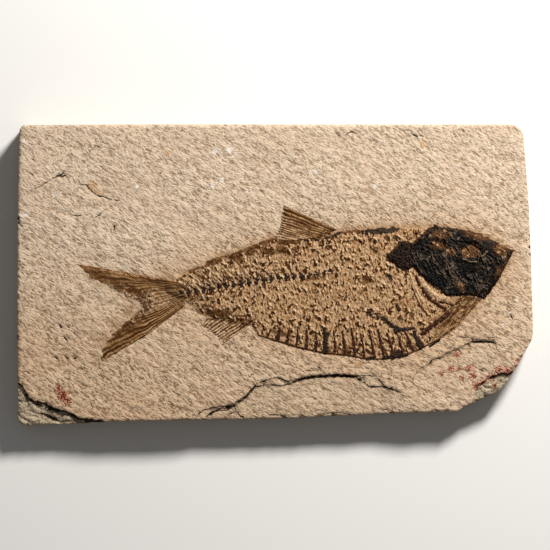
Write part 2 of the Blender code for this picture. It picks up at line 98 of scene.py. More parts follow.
# Each break's edge, the points that close its outline outside the stone, its depth at the edge's first
# point, how much deeper it gets with each millimetre along X and Y, how rough its floor is, and the X
# between which it fades out
BREAKS = [
    (UPPER_LEDGE, [(46.0, -47.0), (-32.0, -49.0)], 0.35, (0.0, 0.0), 0.05, (31.0, 41.0)),
    (LOWER_LEDGE, [(46.0, -47.0), (-32.0, -49.0)], 0.85, (0.0, -0.01), 0.1, (31.0, 42.0)),
    (THROAT_LEDGE, [(68.0, -30.0), (50.0, -36.0)], 0.28, (0.0, 0.035), 0.05, (63.0, 68.0)),
    (LEFT_CORNER, [(-50.0, -48.0), (-80.0, -48.0)], 0.8, (0.0, -0.05), 0.5, (90.0, 91.0)),
    (RIGHT_CORNER, [(80.0, -32.0), (70.0, -42.0), (58.0, -42.0)], 0.8, (0.03, -0.05), 0.5, (90.0, 91.0)),
]

# Dark lines: real cracks and pits, and painted shadow along the feet of the broken edges, each with its half width and
# how dark the painted shadow below it is
DARK_LINES = [
    (LOWER_LEDGE[9:15], 0.36, 1.0),
    (LOWER_LEDGE[4:10], 0.24, 0.5),
    (LOWER_LEDGE[14:], 0.3, 0.6),
    (LOWER_LEDGE[:5], 0.24, 0.8),
    (UPPER_LEDGE, 0.17, 0.3),
    ([(-20.5, -42.8), (-18.0, -41.0), (-14.5, -40.6), (-11.5, -38.9)], 0.2, 0.6),
    (THROAT_LEDGE[:10], 0.11, 0.6),
    (THROAT_LEDGE[3:6], 0.26, 0.7),
    (THROAT_LEDGE[9:], 0.34, 0.4),
    (LEFT_CORNER[:4], 0.3, 0.2),
    (LEFT_CORNER[3:], 0.38, 0.5),
    (RIGHT_CORNER[:6], 0.28, 0.5),
    (RIGHT_CORNER[4:], 0.3, 0.6),
    ([(54.6, -18.7), (57.0, -18.6), (60.0, -19.2), (62.7, -18.8), (66.0, -18.8), (66.7, -20.2)], 0.14, 0.2),
    ([(-75.5, -35.9), (-72.5, -38.6), (-69.8, -39.4)], 0.28, 0.4),
    ([(-70.4, -41.6), (-68.4, -42.0), (-66.5, -43.4), (-64.5, -44.0)], 0.5, 0.5),
    ([(-69.0, -40.8), (-67.0, -40.4), (-65.2, -41.6)], 0.24, 0.3),
    ([(-61.0, -42.0), (-58.5, -43.3), (-55.6, -43.4), (-51.0, -44.1)], 0.4, 0.3),
    ([(-12.4, -39.7), (-10.6, -42.2), (-9.2, -43.1)], 0.26, 0.3),
    ([(-14.0, -41.6), (-12.0, -41.4), (-10.4, -42.6)], 0.18, 0.3),
    ([(31.7, -40.1), (33.6, -40.6), (35.3, -41.5)], 0.24, 0.3),
    ([(-2.6, -41.6), (1.0, -42.0), (4.0, -42.9)], 0.18, 0.5),
    ([(14.0, -41.8), (19.0, -41.3), (23.0, -41.9)], 0.16, 0.5),
    ([(-8.0, -30.8), (-5.6, -29.2), (-4.0, -30.6)], 0.12, 0.0),
    ([(8.0, -30.2), (10.0, -28.6), (15.0, -28.9)], 0.12, 0.0),
    ([(-72.5, 25.7), (-70.2, 26.6), (-67.9, 28.4), (-64.4, 30.0), (-62.9, 31.6)], 0.18, 0.0),
    ([(-64.7, 30.1), (-64.1, 29.8)], 0.45, 0.0),
    ([(-63.7, 29.4), (-63.0, 30.0)], 0.34, 0.0),
    ([(-58.4, 27.2), (-56.7, 27.0), (-54.9, 25.1), (-53.3, 23.9), (-51.1, 23.4), (-48.9, 22.5)], 0.22, 0.0),
    ([(-48.4, 22.6), (-46.6, 22.4)], 0.2, 0.0),
    ([(-68.0, 19.2), (-65.0, 17.0), (-62.1, 13.6)], 0.12, 0.0),
    ([(-61.3, 17.8), (-58.1, 17.9)], 0.2, 0.0),
    ([(-54.6, 16.8), (-51.1, 19.2)], 0.1, 0.0),
    ([(-77.2, 15.9), (-75.8, 14.4)], 0.3, 0.0),
    ([(-77.5, -21.5), (-76.0, -22.9)], 0.28, 0.0),
    ([(-77.6, -18.2), (-77.0, -18.9)], 0.3, 0.0),
    ([(-61.3, -16.4), (-58.9, -18.8)], 0.18, 0.0),
    ([(-65.0, -14.6), (-63.8, -15.9)], 0.3, 0.0),
    ([(-62.4, -15.2), (-61.9, -15.6)], 0.28, 0.0),
    ([(-63.2, -18.4), (-62.4, -19.8)], 0.34, 0.0),
    ([(-66.0, -24.6), (-65.0, -25.3)], 0.3, 0.0),
    ([(-62.9, -24.6), (-62.2, -25.2)], 0.3, 0.0),
    ([(-60.4, -25.2), (-59.6, -24.8)], 0.3, 0.0),
    ([(-53.4, 38.6), (-53.1, 38.5)], 0.34, 0.0),
    ([(-48.3, 14.6), (-48.1, 14.1)], 0.34, 0.0),
    ([(-73.2, 30.5), (-72.6, 30.0)], 0.34, 0.0),
    ([(17.7, 43.2), (19.8, 41.4)], 0.15, 0.0),
    ([(21.0, 41.7), (22.8, 43.0), (24.9, 42.3)], 0.18, 0.0),
    ([(41.3, 42.1), (42.9, 41.5)], 0.28, 0.0),
    ([(43.8, 41.9), (44.1, 41.8)], 0.34, 0.0),
    ([(3.0, 34.8), (6.5, 33.3)], 0.12, 0.0),
    ([(62.0, -28.7), (62.3, -28.8)], 0.38, 0.0),
    ([(70.7, -12.2), (71.1, -12.8)], 0.3, 0.0),
    ([(13.0, -27.7), (13.4, -28.0)], 0.36, 0.0),
    ([(-11.4, -27.9), (-9.8, -30.2)], 0.12, 0.0),
]

# Stains: the middle and radius of each spot
RED_SPOTS = [
    (-63.6, -36.0, 1.8), (-64.8, -34.4, 1.2), (-62.4, -37.8, 1.5), (60.4, -33.2, 1.3), (62.3, -32.0, 1.3),
    (64.8, -30.5, 1.3), (67.3, -28.6, 1.6), (69.8, -28.8, 1.3), (72.2, -27.4, 0.9), (73.0, -25.6, 0.8),
    (54.6, -23.9, 1.2), (50.1, -29.6, 0.9), (52.8, -28.0, 1.0), (55.0, -28.2, 0.8), (58.5, -28.0, 1.1),
    (59.4, -30.2, 1.1), (56.0, -31.0, 0.9), (71.0, -30.6, 0.9), (66.0, -33.0, 0.7),
]
ORANGE_SPOTS = [(-54.8, 26.9, 1.9), (-52.6, 24.6, 1.2), (44.3, 39.5, 1.2), (-32.0, 36.6, 1.0), (25.0, -26.6, 1.1)]
WHITE_SPOTS = [
    (-18.0, 36.9, 1.0), (-13.5, 37.5, 1.4), (-12.2, 35.8, 0.8), (-18.6, 27.0, 1.0), (-15.9, 28.5, 0.9),
    (-66.4, 24.1, 1.0), (-75.5, 40.2, 0.8), (-68.0, 32.4, 0.8), (-75.0, 18.2, 1.1), (-41.5, 26.5, 0.8),
    (-8.6, 25.2, 0.8), (-7.0, 20.6, 0.6), (12.0, 31.0, 1.0), (30.0, 26.5, 0.9), (55.0, 33.0, 0.8),
    (68.4, -15.0, 0.7), (70.5, -11.2, 0.6), (72.6, -7.5, 0.7), (74.4, -3.6, 0.6),
]
MINERAL_SPOTS = [(76.5, 12.0, 0.7), (76.4, 8.4, 0.6), (76.8, 6.4, 0.8), (-77.0, 17.0, 0.6)]

# The fish's outline, from the tail root to the snout, which its halo on the stone follows too
BACK_LINE = [
    (-33.0, -2.0), (-29.6, -0.9), (-26.7, 0.9), (-22.8, 2.3), (-17.9, 5.2), (-13.0, 6.3), (-6.7, 8.9), (-0.3, 11.1),
    (7.5, 11.4), (14.9, 12.0), (19.5, 12.9), (25.5, 13.7), (35.0, 14.2), (49.5, 14.3),
    (55.6, 13.9), (60.6, 12.6), (65.7, 10.2), (71.4, 7.2),
]
BELLY_LINE = [
    (-33.0, -5.6), (-29.6, -7.0), (-25.7, -8.6), (-20.7, -12.9), (-13.5, -14.1), (-7.2, -15.0), (-5.1, -18.2), (0.3, -19.8),
    (7.5, -22.0), (15.0, -23.6), (21.6, -24.2), (27.4, -25.3), (32.3, -25.4), (38.6, -24.6),
    (44.0, -22.0), (49.2, -19.5), (54.6, -15.4), (60.1, -9.1), (66.9, -1.5), (71.4, 7.2),
]
TAIL_STAINS = [
    (-54.0, 0.5, 3.5), (-49.0, -2.0, 4.5), (-43.5, -5.5, 5.0), (-38.5, -8.5, 4.0), (-43.0, -11.0, 4.5),
    (-47.5, -15.0, 4.5), (-51.0, -19.5, 3.5), (-30.0, -9.5, 4.0), (-33.0, -1.0, 4.0),
]
FISH_OUTLINE = BACK_LINE + BELLY_LINE[-2::-1]
HALO_REACH = 1.2


def ramp(values, low, high):
    """0 up to low and 1 from high on, with a smooth rise between them."""
    share = np.clip((values - low) / (high - low), 0.0, 1.0)
    return share * share * (3 - 2 * share)


def field(u, v, layer):
    """Smooth noise from about -1 to 1, with bumps about one unit apart; layer picks one pattern or varies."""
    places = zip(np.ravel(u).tolist(), np.ravel(v).tolist(), np.broadcast_to(layer, np.size(u)).tolist())
    return np.array([noise.noise(place) for place in places]).reshape(np.shape(u))


def streaks(x, y, length, width, layer, angle=STREAK_ANGLE):
    """Noise whose bumps are drawn out to this length along one direction."""
    along = x * math.cos(angle) + y * math.sin(angle)
    across = y * math.cos(angle) - x * math.sin(angle)
    return field(along / length, across / width, layer)


def from_line(x, y, line):
    """How far points lie from a line, above zero on its left, and the share of its length at the nearest point."""
    nearest = np.full(np.shape(x), 1e9)
    offset, share = np.zeros(np.shape(x)), np.zeros(np.shape(x))
    total = sum(math.dist(a, b) for a, b in zip(line, line[1:]))
    run = 0.0
    for (ax, ay), (bx, by) in zip(line, line[1:]):
        length = math.dist((ax, ay), (bx, by))
        ux, uy = (bx - ax) / length, (by - ay) / length
        along = np.clip((x - ax) * ux + (y - ay) * uy, 0.0, length)
        gap = np.hypot(x - ax - along * ux, y - ay - along * uy)
        side = (y - ay) * ux - (x - ax) * uy
        tied = (np.abs(gap - nearest) < 1e-6) & (np.abs(side) > np.abs(offset))
        closer = (gap < nearest - 1e-6) | tied
        nearest = np.where(closer, gap, nearest)
        offset = np.where(closer, side, offset)
        share = np.where(closer, (run + along) / total, share)
        run += length
    return nearest * np.where(offset < 0, -1.0, 1.0), share


def depth_inside(x, y, outline):
    """How far points lie inside a closed outline, below zero outside it."""
    gap, _ = from_line(x, y, outline + outline[:1])
    inside = np.zeros(np.shape(x), bool)
    for (ax, ay), (bx, by) in zip(outline, outline[1:] + outline[:1]):
        if ay != by:
            crossing = ax + (y - ay) * (bx - ax) / (by - ay)
            inside ^= ((ay > y) != (by > y)) & (x < crossing)
    return np.abs(gap) * np.where(inside, 1.0, -1.0)


def along_line(line, share):
    """The points at these shares of a line's length."""
    steps = np.hypot(*np.diff(np.array(line), axis=0).T)
    marks = np.concatenate([[0.0], np.cumsum(steps)]) / steps.sum()
    xs, ys = zip(*line)
    return np.interp(share, marks, xs), np.interp(share, marks, ys)


def bedding(x, y):
    """How far the split face lies above its mean level."""
    return sum(rise * field(x / length, y / length, 1.0) for length, rise in FACE_WAVES)


def grain(x, y):
    """The rough grain of the split face: short flaky ridges along its streaks."""
    bumps = [streaks(x, y, length, width, 10.0 + n) * rise for n, (length, width, rise) in enumerate(GRAIN)]
    return sum(bumps)


def layer_loss(x, y):
    """How far the face lies below the bedding plane where layers have split away, and how fresh the break is."""
    loss, fresh = np.zeros(np.shape(x)), np.zeros(np.shape(x))
    ragged = 0.3 * field(x / 1.7, y / 1.7, 6.0) + 0.22 * field(x / 0.7, y / 0.7, 7.0)
    lumps = np.abs(field(x / 3.1, y / 2.2, 8.0)) * 2 + np.abs(field(x / 1.3, y / 0.9, 9.0)) - 0.6
    for edge, rest, depth, fall, roughness, (full, faded) in BREAKS:
        within = depth_inside(x, y, edge + rest) + ragged
        floor = depth + (x - edge[0][0]) * fall[0] + (y - edge[0][1]) * fall[1] - roughness * lumps
        broken = ramp(within, 0.0, 0.3) * (1 - ramp(x, full, faded))
        loss = np.maximum(loss, np.maximum(floor, 0.05) * broken)
        fresh = np.maximum(fresh, broken * min(roughness * 2, 1.0))
    return loss, fresh


def dark_lines(x, y):
    """How far points lie from the nearest dark line's middle, its half width there, its depth, and the painted shadow
    below it.
    """
    nearest, width = np.full(np.shape(x), 9.0), np.zeros(np.shape(x))
    depth, foot_shadow = np.zeros(np.shape(x)), np.zeros(np.shape(x))
    x = x + 0.3 * field(x / 1.3, y / 1.3, 30.0) + 0.16 * field(x / 0.5, y / 0.5, 31.0)
    y = y + 0.3 * field(x / 1.3, y / 1.3, 32.0) + 0.16 * field(x / 0.5, y / 0.5, 33.0)
    uneven = 0.8 + 0.9 * field(x / 1.4, y / 1.4, 34.0) + 0.5 * field(x / 0.6, y / 0.6, 35.0)
    for line, half, shadow in DARK_LINES:
        length = sum(math.dist(a, b) for a, b in zip(line, line[1:]))
        gap, share = from_line(x, y, line)
        ends = np.clip(np.minimum(share, 1 - share) * length / 0.6 + (0.2 if length > 1.5 else 0.6), 0.0, 1.0)
        size = half * ends * (np.clip(uneven, 0.1, 1.4) if length > 2 else 1.0)
        here = (np.abs(gap) < half + 0.6) & (np.abs(gap) - size < np.abs(nearest) - width)
        nearest, width = np.where(here, gap, nearest), np.where(here, size, width)
        depth = np.maximum(depth, 1.4 * size * np.exp(-((gap / (half + 0.1)) ** 2)))
        below = np.exp(-np.maximum(-gap / 0.8, gap / 0.15))
        foot_shadow = np.maximum(foot_shadow, shadow * ends * below * np.clip(uneven, 0.3, 1.2))
    return nearest, width, depth, foot_shadow


def spots(x, y, places):
    """1 in the middle of each spot, and 0 beyond its radius and a bit."""
    found = np.zeros(np.shape(x))
    for px, py, radius in places:
        found = np.maximum(found, 1 - np.hypot(x - px, y - py) / (radius * 1.4))
    return found


def stone_level(x, y):
    """The height of the stone's own face, above its underside."""
    loss, _ = layer_loss(x, y)
    return STONE_THICKNESS + bedding(x, y) + grain(x, y) - loss


def slab_place(u, v):
    """Where a point of the unit square lies on the slab: an even blend between its four sides."""
    v = v * (1 - LOWER_CROWDING) + LOWER_CROWDING * v * v
    sides = [along_line(BOTTOM_SIDE, u), along_line(TOP_SIDE, u), along_line(LEFT_SIDE, v), along_line(RIGHT_SIDE, v)]
    placed = []
    for axis in (0, 1):
        bottom, top, left, right = (side[axis] for side in sides)
        low_left, low_right = BOTTOM_SIDE[0][axis], BOTTOM_SIDE[-1][axis]
        up_left, up_right = TOP_SIDE[0][axis], TOP_SIDE[-1][axis]
        corners = (1 - v) * ((1 - u) * low_left + u * low_right) + v * ((1 - u) * up_left + u * up_right)
        placed.append((1 - v) * bottom + v * top + (1 - u) * left + u * right - corners)
    return placed


def slab_shape(u, v, ring):
    """The slab's surface: ring 0 is its face, and the next rings go down its sides to its underside."""
    x, y = slab_place(u, v)
    inside = depth_inside(x, y, SLAB_OUTLINE)
    step = 0.05
    out_x = depth_inside(x - step, y, SLAB_OUTLINE) - depth_inside(x + step, y, SLAB_OUTLINE)
    out_y = depth_inside(x, y - step, SLAB_OUTLINE) - depth_inside(x, y + step, SLAB_OUTLINE)
    size = np.maximum(np.hypot(out_x, out_y), 1e-6)
    chips = CHIP_SIZE * ramp(field(x / 1.6, y / 1.6, 20.0), 0.15, 0.7)
    inset = np.where(ring == 0, (RIM_INSET + chips) * np.exp(-np.maximum(inside, 0) / 1.5), 0.0)
    layered = 0.5 + 1.2 * field(x / 2.5 + ring * 7.3, y / 2.5, 21.0)
    inset += np.where(ring > 0, np.array((0.0,) + SIDE_INSETS)[ring] * layered, 0.0)
    x, y = x - out_x / size * inset, y - out_y / size * inset
    loss, fresh = layer_loss(x, y)
    gap, width, crack_depth, foot_shadow = dark_lines(x, y)
    texture = grain(x, y)
    body = depth_inside(x, y, FISH_OUTLINE)
    halo = np.exp(-np.maximum(-body, 0) / HALO_REACH) * ramp(y + 0.25 * x, -16, 2)
    rough = 0.35 * fresh * (np.abs(field(x / 0.9, y / 0.6, 22.0)) - 0.3)
    top = STONE_THICKNESS + bedding(x, y) + texture - loss + rough - crack_depth
    top -= RIM_DROP * (1 + chips) * np.exp(-np.maximum(inside, 0) / 0.4) + 0.5 * ramp(body, 0.8, 1.6)
    sides = top * np.array((1.0,) + SIDE_LEVELS)[ring]
    upper = ramp(3.0 - ring, 0.0, 3.0)  # the markings of the face end on the first rings of the sides
    layers = {
        "grain": texture * upper,
        "crack_and_shadow_line": gap,
        "dark_line_width": width * upper,
        "foot_shadow": foot_shadow * upper,
        "fresh": fresh * upper,
        "side": 1 - upper,
        "red": spots(x, y, RED_SPOTS) * upper,
        "orange": spots(x, y, ORANGE_SPOTS) * upper,
        "white": spots(x, y, WHITE_SPOTS) * upper,
        "mineral": spots(x, y, MINERAL_SPOTS) * upper,
        "halo": np.maximum(halo, 0.9 * spots(x, y, TAIL_STAINS)) * upper,
        # A warm tint round the fish, and painted shade: darker below the fish and towards the lower left, standing in
        # for the light fading away from the lamp.
        "warm_tint_and_shade": np.maximum(np.exp(-np.maximum(-body, 0) / (5 + 18 * ramp(-y, -8, 14))), 0.85 * ramp(-y - 0.3 * x, 0, 52)),
    }
    return x, y, sides, layers


def laid_out(name, sheet, shape):
    """An object from a bmesh whose points are parameters, which shape() turns to places and attributes."""
    mesh = bpy.data.meshes.new(name)
    sheet.to_mesh(mesh)
    sheet.free()
    points = np.empty(len(mesh.vertices) * 3)
    mesh.vertices.foreach_get("co", points)
    u, v, level = points.reshape(-1, 3).T
    x, y, z, layers = shape(u, v, np.rint(-level).astype(int))
    mesh.vertices.foreach_set("co", (np.stack([x, y, z], axis=1) * MM).ravel())
    for layer, values in layers.items():
        mesh.attributes.new(layer, "FLOAT", "POINT").data.foreach_set("value", values.astype(np.float32))
    mesh.shade_smooth()
    mesh.update()
    piece = bpy.data.objects.new(name, mesh)
    bpy.context.scene.collection.objects.link(piece)
    return piece


def skirted(sheet, rings):
    """Closes an open sheet at level 0 with walls of this many rings, a level lower each, and a flat bottom."""
    for level in range(1, rings + 1):
        rim = [e for e in sheet.edges if e.is_boundary]
        made = bmesh.ops.extrude_edge_only(sheet, edges=rim)["geom"]
        for v in made:
            if isinstance(v, bmesh.types.BMVert):
                v.co.z = -level
    rim = [e for e in sheet.edges if e.is_boundary]
    bmesh.ops.triangle_fill(sheet, edges=rim, normal=(0, 0, -1))
    bmesh.ops.recalc_face_normals(sheet, faces=sheet.faces)
    return sheet


def square_sheet(columns, rows):
    """A grid over the unit square."""
    sheet = bmesh.new()
    bmesh.ops.create_grid(sheet, x_segments=columns, y_segments=rows, size=0.5)
    bmesh.ops.translate(sheet, vec=(0.5, 0.5, 0), verts=sheet.verts)
    return sheet


class Wire:
    """An output of a shader node. Arithmetic on it adds Math nodes to its material."""

    def __init__(self, look, socket):
        self.look = look
        self.socket = socket

    def maths(self, operation, first, second):
        return self.look.node("Math", {"operation": operation}, {0: first, 1: second})

    def __add__(self, other):
        return self.maths("ADD", self, other)

    def __sub__(self, other):
        return self.maths("SUBTRACT", self, other)

    def __rsub__(self, other):
        return self.maths("SUBTRACT", other, self)

    def __mul__(self, other):
        return self.maths("MULTIPLY", self, other)

    def __abs__(self):
        return self.look.node("Math", {"operation": "ABSOLUTE"}, {0: self})

    def most(self, other):
        return self.maths("MAXIMUM", self, other)

    def between(self, low, high):
        """0 where this is low and 1 where it is high, with a smooth rise between them."""
        settings = {"interpolation_type": "SMOOTHSTEP"}
        return self.look.node("MapRange", settings, {"Value": self, "From Min": low, "From Max": high})

    __radd__ = __add__
    __rmul__ = __mul__


class Look:
    """A Principled material, and the nodes that feed it."""

    def __init__(self, name):
        self.material = bpy.data.materials.new(name)
        self.material.use_nodes = True
        self.tree = self.material.node_tree
        self.shader = self.tree.nodes["Principled BSDF"]
        here = self.node("TexCoord", {}, {}, "Object")
        self.place = self.node("VectorMath", {"operation": "SCALE"}, {0: here, "Scale": 1 / MM})

    def node(self, kind, settings, inputs, output=0):
        """Any node: its type, its settings, and the values or wires of its sockets."""
        made = self.tree.nodes.new("ShaderNode" + kind)
        for setting, value in settings.items():
            setattr(made, setting, value)
        for socket, value in inputs.items():
            if isinstance(value, Wire):
                self.tree.links.new(value.socket, made.inputs[socket])
            else:
                made.inputs[socket].default_value = value
        return Wire(self, made.outputs[output])

    def layer(self, name):
        """A value that the piece's points carry."""
        return self.node("Attribute", {"attribute_name": name}, {}, "Fac")

    def noise(self, length, width, seed, detail=2.0, angle=STREAK_ANGLE, warp=0.0, tall=None):
        """Noise from 0 to 1 with bumps of this size in millimetres, drawn out along the streaks."""
        scaled = {"Vector": self.place, "Rotation": (0, 0, angle), "Scale": (length, width, tall or width)}
        scaled["Location"] = (seed * 13.7, seed * 5.1, seed * 3.3)
        where = self.node("Mapping", {"vector_type": "TEXTURE"}, scaled)
        return self.node("TexNoise", {}, {"Vector": where, "Scale": 1.0, "Detail": detail, "Distortion": warp})

    def blend(self, share, below, above, way="MIX"):
        """One colour over another, by a share or along a wire."""
        settings = {"data_type": "RGBA", "blend_type": way}
        return self.node("Mix", settings, {0: share, 6: below, 7: above}, 2)

    def finish(self, colour, roughness, height, depth):
        """Links the colour, the roughness and a bump of this depth in millimetres."""
        bump = self.node("Bump", {}, {"Height": height, "Distance": depth * MM, "Strength": 1.0})
        for socket, wire in (("Base Color", colour), ("Roughness", roughness), ("Normal", bump)):
            self.tree.links.new(wire.socket, self.shader.inputs[socket])
        return self.material


def paint(red, green, blue):
    """A colour from its usual numbers up to 255."""
    steps = [c / 255 for c in (red, green, blue)]
    return (*[s / 12.92 if s <= 0.04045 else ((s + 0.055) / 1.055) ** 2.4 for s in steps], 1.0)


def stone_face(look):
    """Bare stone: cream flakes over brown hollows, with orange specks and chalky spots, and painted shade that darkens
    it towards the bottom and the lower left. Also gives its relief.
    """
    ridges = look.noise(1.45, 0.66, 1, 2.5, math.radians(-36), 0.8)
    flakes = look.noise(0.75, 0.42, 2, 2.0, math.radians(-10), 0.5)
    broad = look.noise(20.0, 14.0, 3)
    height = ridges + flakes * 0.4
    pale = (ridges + flakes * 0.4 + look.layer("grain") * 0.4).between(0.5, 0.78)
    # Painted shade: the hollows are darker towards the lower left, where the relief shading is stronger.
    hollow = look.blend(look.layer("warm_tint_and_shade"), paint(150, 126, 100), paint(124, 98, 72))
    colour = look.blend(pale, hollow, paint(206, 185, 161))
    colour = look.blend(flakes.between(0.55, 0.7) * 0.4, colour, paint(220, 202, 178))
    colour = look.blend(broad.between(0.4, 0.65) * 0.3, colour, paint(198, 170, 144))
    rusty = look.noise(1.2, 0.7, 4, 2.0)
    colour = look.blend(rusty.between(0.64, 0.76) * 0.5, colour, paint(166, 112, 68))
    # Painted shade: the stone is multiplied darker and warmer round the fish, below it and towards the lower left.
    warm = look.layer("warm_tint_and_shade") * 0.85
    return look.blend(warm, colour, paint(243, 229, 212), "MULTIPLY"), height


def limestone():
    """The whole slab's stone: stained, cracked, with painted shadow along the feet of its broken edges, and on the fish
    tan, speckled and striped.
    """
    look = Look("limestone")
    colour, height = stone_face(look)
    stain = look.noise(0.7, 0.5, 6, 3.0)
    blotch = look.noise(2.2, 1.5, 10, 3.0)
    chalky = look.layer("white") * 0.9 + stain - 0.5
    colour = look.blend(chalky.between(0.3, 0.6) * 0.6, colour, paint(226, 220, 214))
    golden = (look.layer("orange") + (stain - 0.5) * 1.6).between(0.2, 0.6)
    colour = look.blend(golden * 0.5, colour, paint(178, 130, 74))
    beds, side = look.noise(16.0, 16.0, 20, 3.0, tall=0.5), look.layer("side")
    colour = look.blend(beds.between(0.45, 0.58) * side * 0.55, colour, paint(152, 130, 106))
    height = height + (beds * 2.5 - height * 0.5) * side
    rubble = look.blend(stain.between(0.42, 0.6), paint(136, 120, 96), paint(190, 175, 150))
    colour = look.blend(look.layer("fresh") * 0.85, colour, rubble)
    halo = (look.layer("halo") + (blotch - 0.5) * 1.2).between(0.15, 0.9)
    colour = look.blend(halo * 0.55, colour, paint(142, 104, 66))

    film = (look.layer("film") + (blotch - 0.5) * 0.9).between(0.15, 0.7)
    scaly = look.noise(1.0, 0.5, 15, 3.0, math.radians(-74), 0.4)
    smudge = look.noise(1.3, 0.7, 17, 2.0, math.radians(-74), 0.5)
    tan = look.blend(scaly.between(0.36, 0.56), paint(106, 68, 32), paint(184, 150, 113))
    tan = look.blend(smudge.between(0.5, 0.66) * 0.6, tan, paint(140, 96, 52))
    tan = look.blend(look.noise(0.6, 0.4, 16).between(0.56, 0.7) * 0.7, tan, paint(220, 190, 156))
    colour = look.blend(film, colour, tan)
    height = height + (scaly * 1.3 - height) * film
    dusk = (look.layer("dusk") + (blotch - 0.5) * 1.4 + (stain - 0.5) * 1.6).between(0.25, 0.7)
    colour = look.blend(dusk * 0.8, colour, paint(78, 46, 18))
    for layer, tilt, seed, tone in (("combed", -42, 13, paint(206, 174, 138)), ("swept", 42, 14, paint(182, 144, 102))):
        stripe, share = look.noise(2.6, 0.4, seed, 2.0, math.radians(tilt), 0.3), look.layer(layer)
        colour = look.blend(stripe.between(0.5, 0.42) * share * 0.6, colour, tone)
        colour = look.blend(stripe.between(0.5, 0.57) * share * 0.85, colour, paint(60, 34, 10))
    specks = look.layer("specks") - (scaly - 0.5) * 1.0
    colour = look.blend(specks.between(-0.24, -0.02) * film * 0.6, colour, paint(118, 72, 28))
    core = specks.between(-0.04, 0.06) * film
    dark = look.blend(blotch.between(0.45, 0.62), paint(34, 20, 8), paint(66, 34, 5))
    colour = look.blend(core * 0.92, colour, dark)
    # Painted highlight: cream on the raised crest up and to the right of each dark speck, the side that faces the lamp.
    lit_crests = (look.layer("lit_crests") + (scaly - 0.5) * 1.4).between(0.45, 0.95)
    colour = look.blend(lit_crests * film * 0.75, colour, paint(222, 192, 158))
    blot = look.layer("blot").between(0.0, 0.3) * 0.9 + (stain - 0.5) * 2.0 + (blotch - 0.5) * 0.6
    colour = look.blend(blot.between(0.35, 0.85) * 0.85, colour, paint(72, 43, 16))
    cream = (look.layer("cream") + (stain - 0.5) * 1.0).between(0.3, 0.6)
    colour = look.blend(cream * 0.75, colour, look.blend(stain.between(0.4, 0.6), paint(160, 124, 86), paint(208, 180, 146)))
    tar = (look.layer("tar") + (stain - 0.5) * 1.5).between(0.2, 0.45)
    colour = look.blend(tar * 0.92, colour, paint(26, 20, 17))

    red = look.layer("red")
    dots = (red * 1.2 + (look.noise(0.5, 0.4, 18, 3.0) - 0.5) * 4.5) * red.between(0.0, 0.08)
    colour = look.blend(red.between(0.0, 0.8) * 0.3, colour, paint(174, 104, 78))
    colour = look.blend(dots.between(0.4, 0.85) * 0.9, colour, paint(130, 52, 36))
    colour = look.blend(dots.between(1.0, 1.3) * 0.9, colour, paint(72, 18, 12))
    mineral = (look.layer("mineral") * 2.0 + (stain - 0.5) * 3.0 - 0.5).between(0.3, 0.6)
    # Painted shadow: a brown hatch below the feet of the broken edges, standing in for the shade that their steps cast.
    hatch = look.noise(1.2, 0.35, 12, 2.0, math.radians(70))
    foot_shadow = (look.layer("foot_shadow") + (hatch - 0.5) * 1.4).between(0.25, 0.85)
    colour = look.blend(foot_shadow * 0.8, colour, paint(104, 74, 44))
    # Near-black lines: the real cracks, pits and mineral spots, and painted shadow along the feet of the broken edges.
    ragged = (look.noise(0.5, 0.4, 8, 3.0) - 0.5) * 0.6
    gap = abs(look.layer("crack_and_shadow_line") + ragged * 0.5)
    width = look.layer("dark_line_width")
    crack_and_shadow_line = (width - gap + ragged * 0.3).between(-0.05, 0.06) * width.between(0.02, 0.09)
    colour = look.blend(crack_and_shadow_line.most(mineral) * 0.94, colour, paint(16, 10, 6))
    look.shader.inputs["Specular IOR Level"].default_value = 0.06
    return look.finish(colour, 0.86 + stain * 0.14 - tar * 0.15, height, 0.4)


stone = square_sheet(*FACE_CELLS)
slab = laid_out("split_limestone", skirted(stone, len(SIDE_LEVELS)), slab_shape)
LIMESTONE = limestone()
slab.data.materials.append(LIMESTONE)
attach(slab, "root")
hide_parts("limestone_slab")


# The flank: the flattened body of the fish, a low swelling of the stone under a brown film of decayed
# skin and scales, of which thousands of dark specks are left. It is part of the same stone.

FLANK_STEP = 0.22
FLANK_SWELL = 0.4
FLANK_CELL = 0.19
BURIED = 0.6  # how far below the stone's face a piece laid in it ends
SCALE_SPACING = 1.3
SCALE_RISE = 0.13
BACKBONE_LINE = [
    (-28.0, -5.6), (-23.6, -5.0), (-17.0, -3.7), (-10.1, -2.7), (-3.4, -1.6), (3.5, -0.7),
    (10.2, -0.2), (16.5, 1.1), (24.0, 3.0), (33.9, 5.4),
]
# Places where the film is brown or black right through: middle, half length, half width and tilt
BROWN_PATCHES = [
    (-20.7, 3.6, 2.4, 1.2, 20), (-15.0, 5.4, 3.0, 1.6, 15), (-10.8, 6.6, 3.0, 1.9, 10), (-7.5, 7.3, 3.0, 2.0, 25),
    (-3.9, 8.8, 3.6, 2.2, 30), (-1.5, 6.9, 2.8, 1.8, 0), (1.8, 7.5, 3.0, 1.9, 0), (3.0, 10.2, 5.0, 1.8, 8),
    (10.0, 10.9, 6.0, 1.1, 3), (-16.0, -12.6, 4.5, 1.7, -5), (-10.0, -13.0, 6.0, 1.8, -5), (-20.0, -10.0, 3.0, 1.6, -30),
    (53.0, -11.5, 6.5, 2.6, 48), (57.0, -8.5, 4.5, 2.4, 48), (28.0, -1.4, 3.0, 1.9, -15), (2.0, -17.6, 5.0, 1.2, -15),
    (20.0, -22.3, 9.0, 0.8, -6), (38.0, -22.5, 9.0, 1.2, 12), (12.0, -1.0, 5.0, 0.8, 8), (22.0, 13.0, 12.0, 0.9, 4),
    (42.4, 12.6, 1.7, 1.3, 10), (40.2, 11.0, 1.6, 0.8, 0),
]
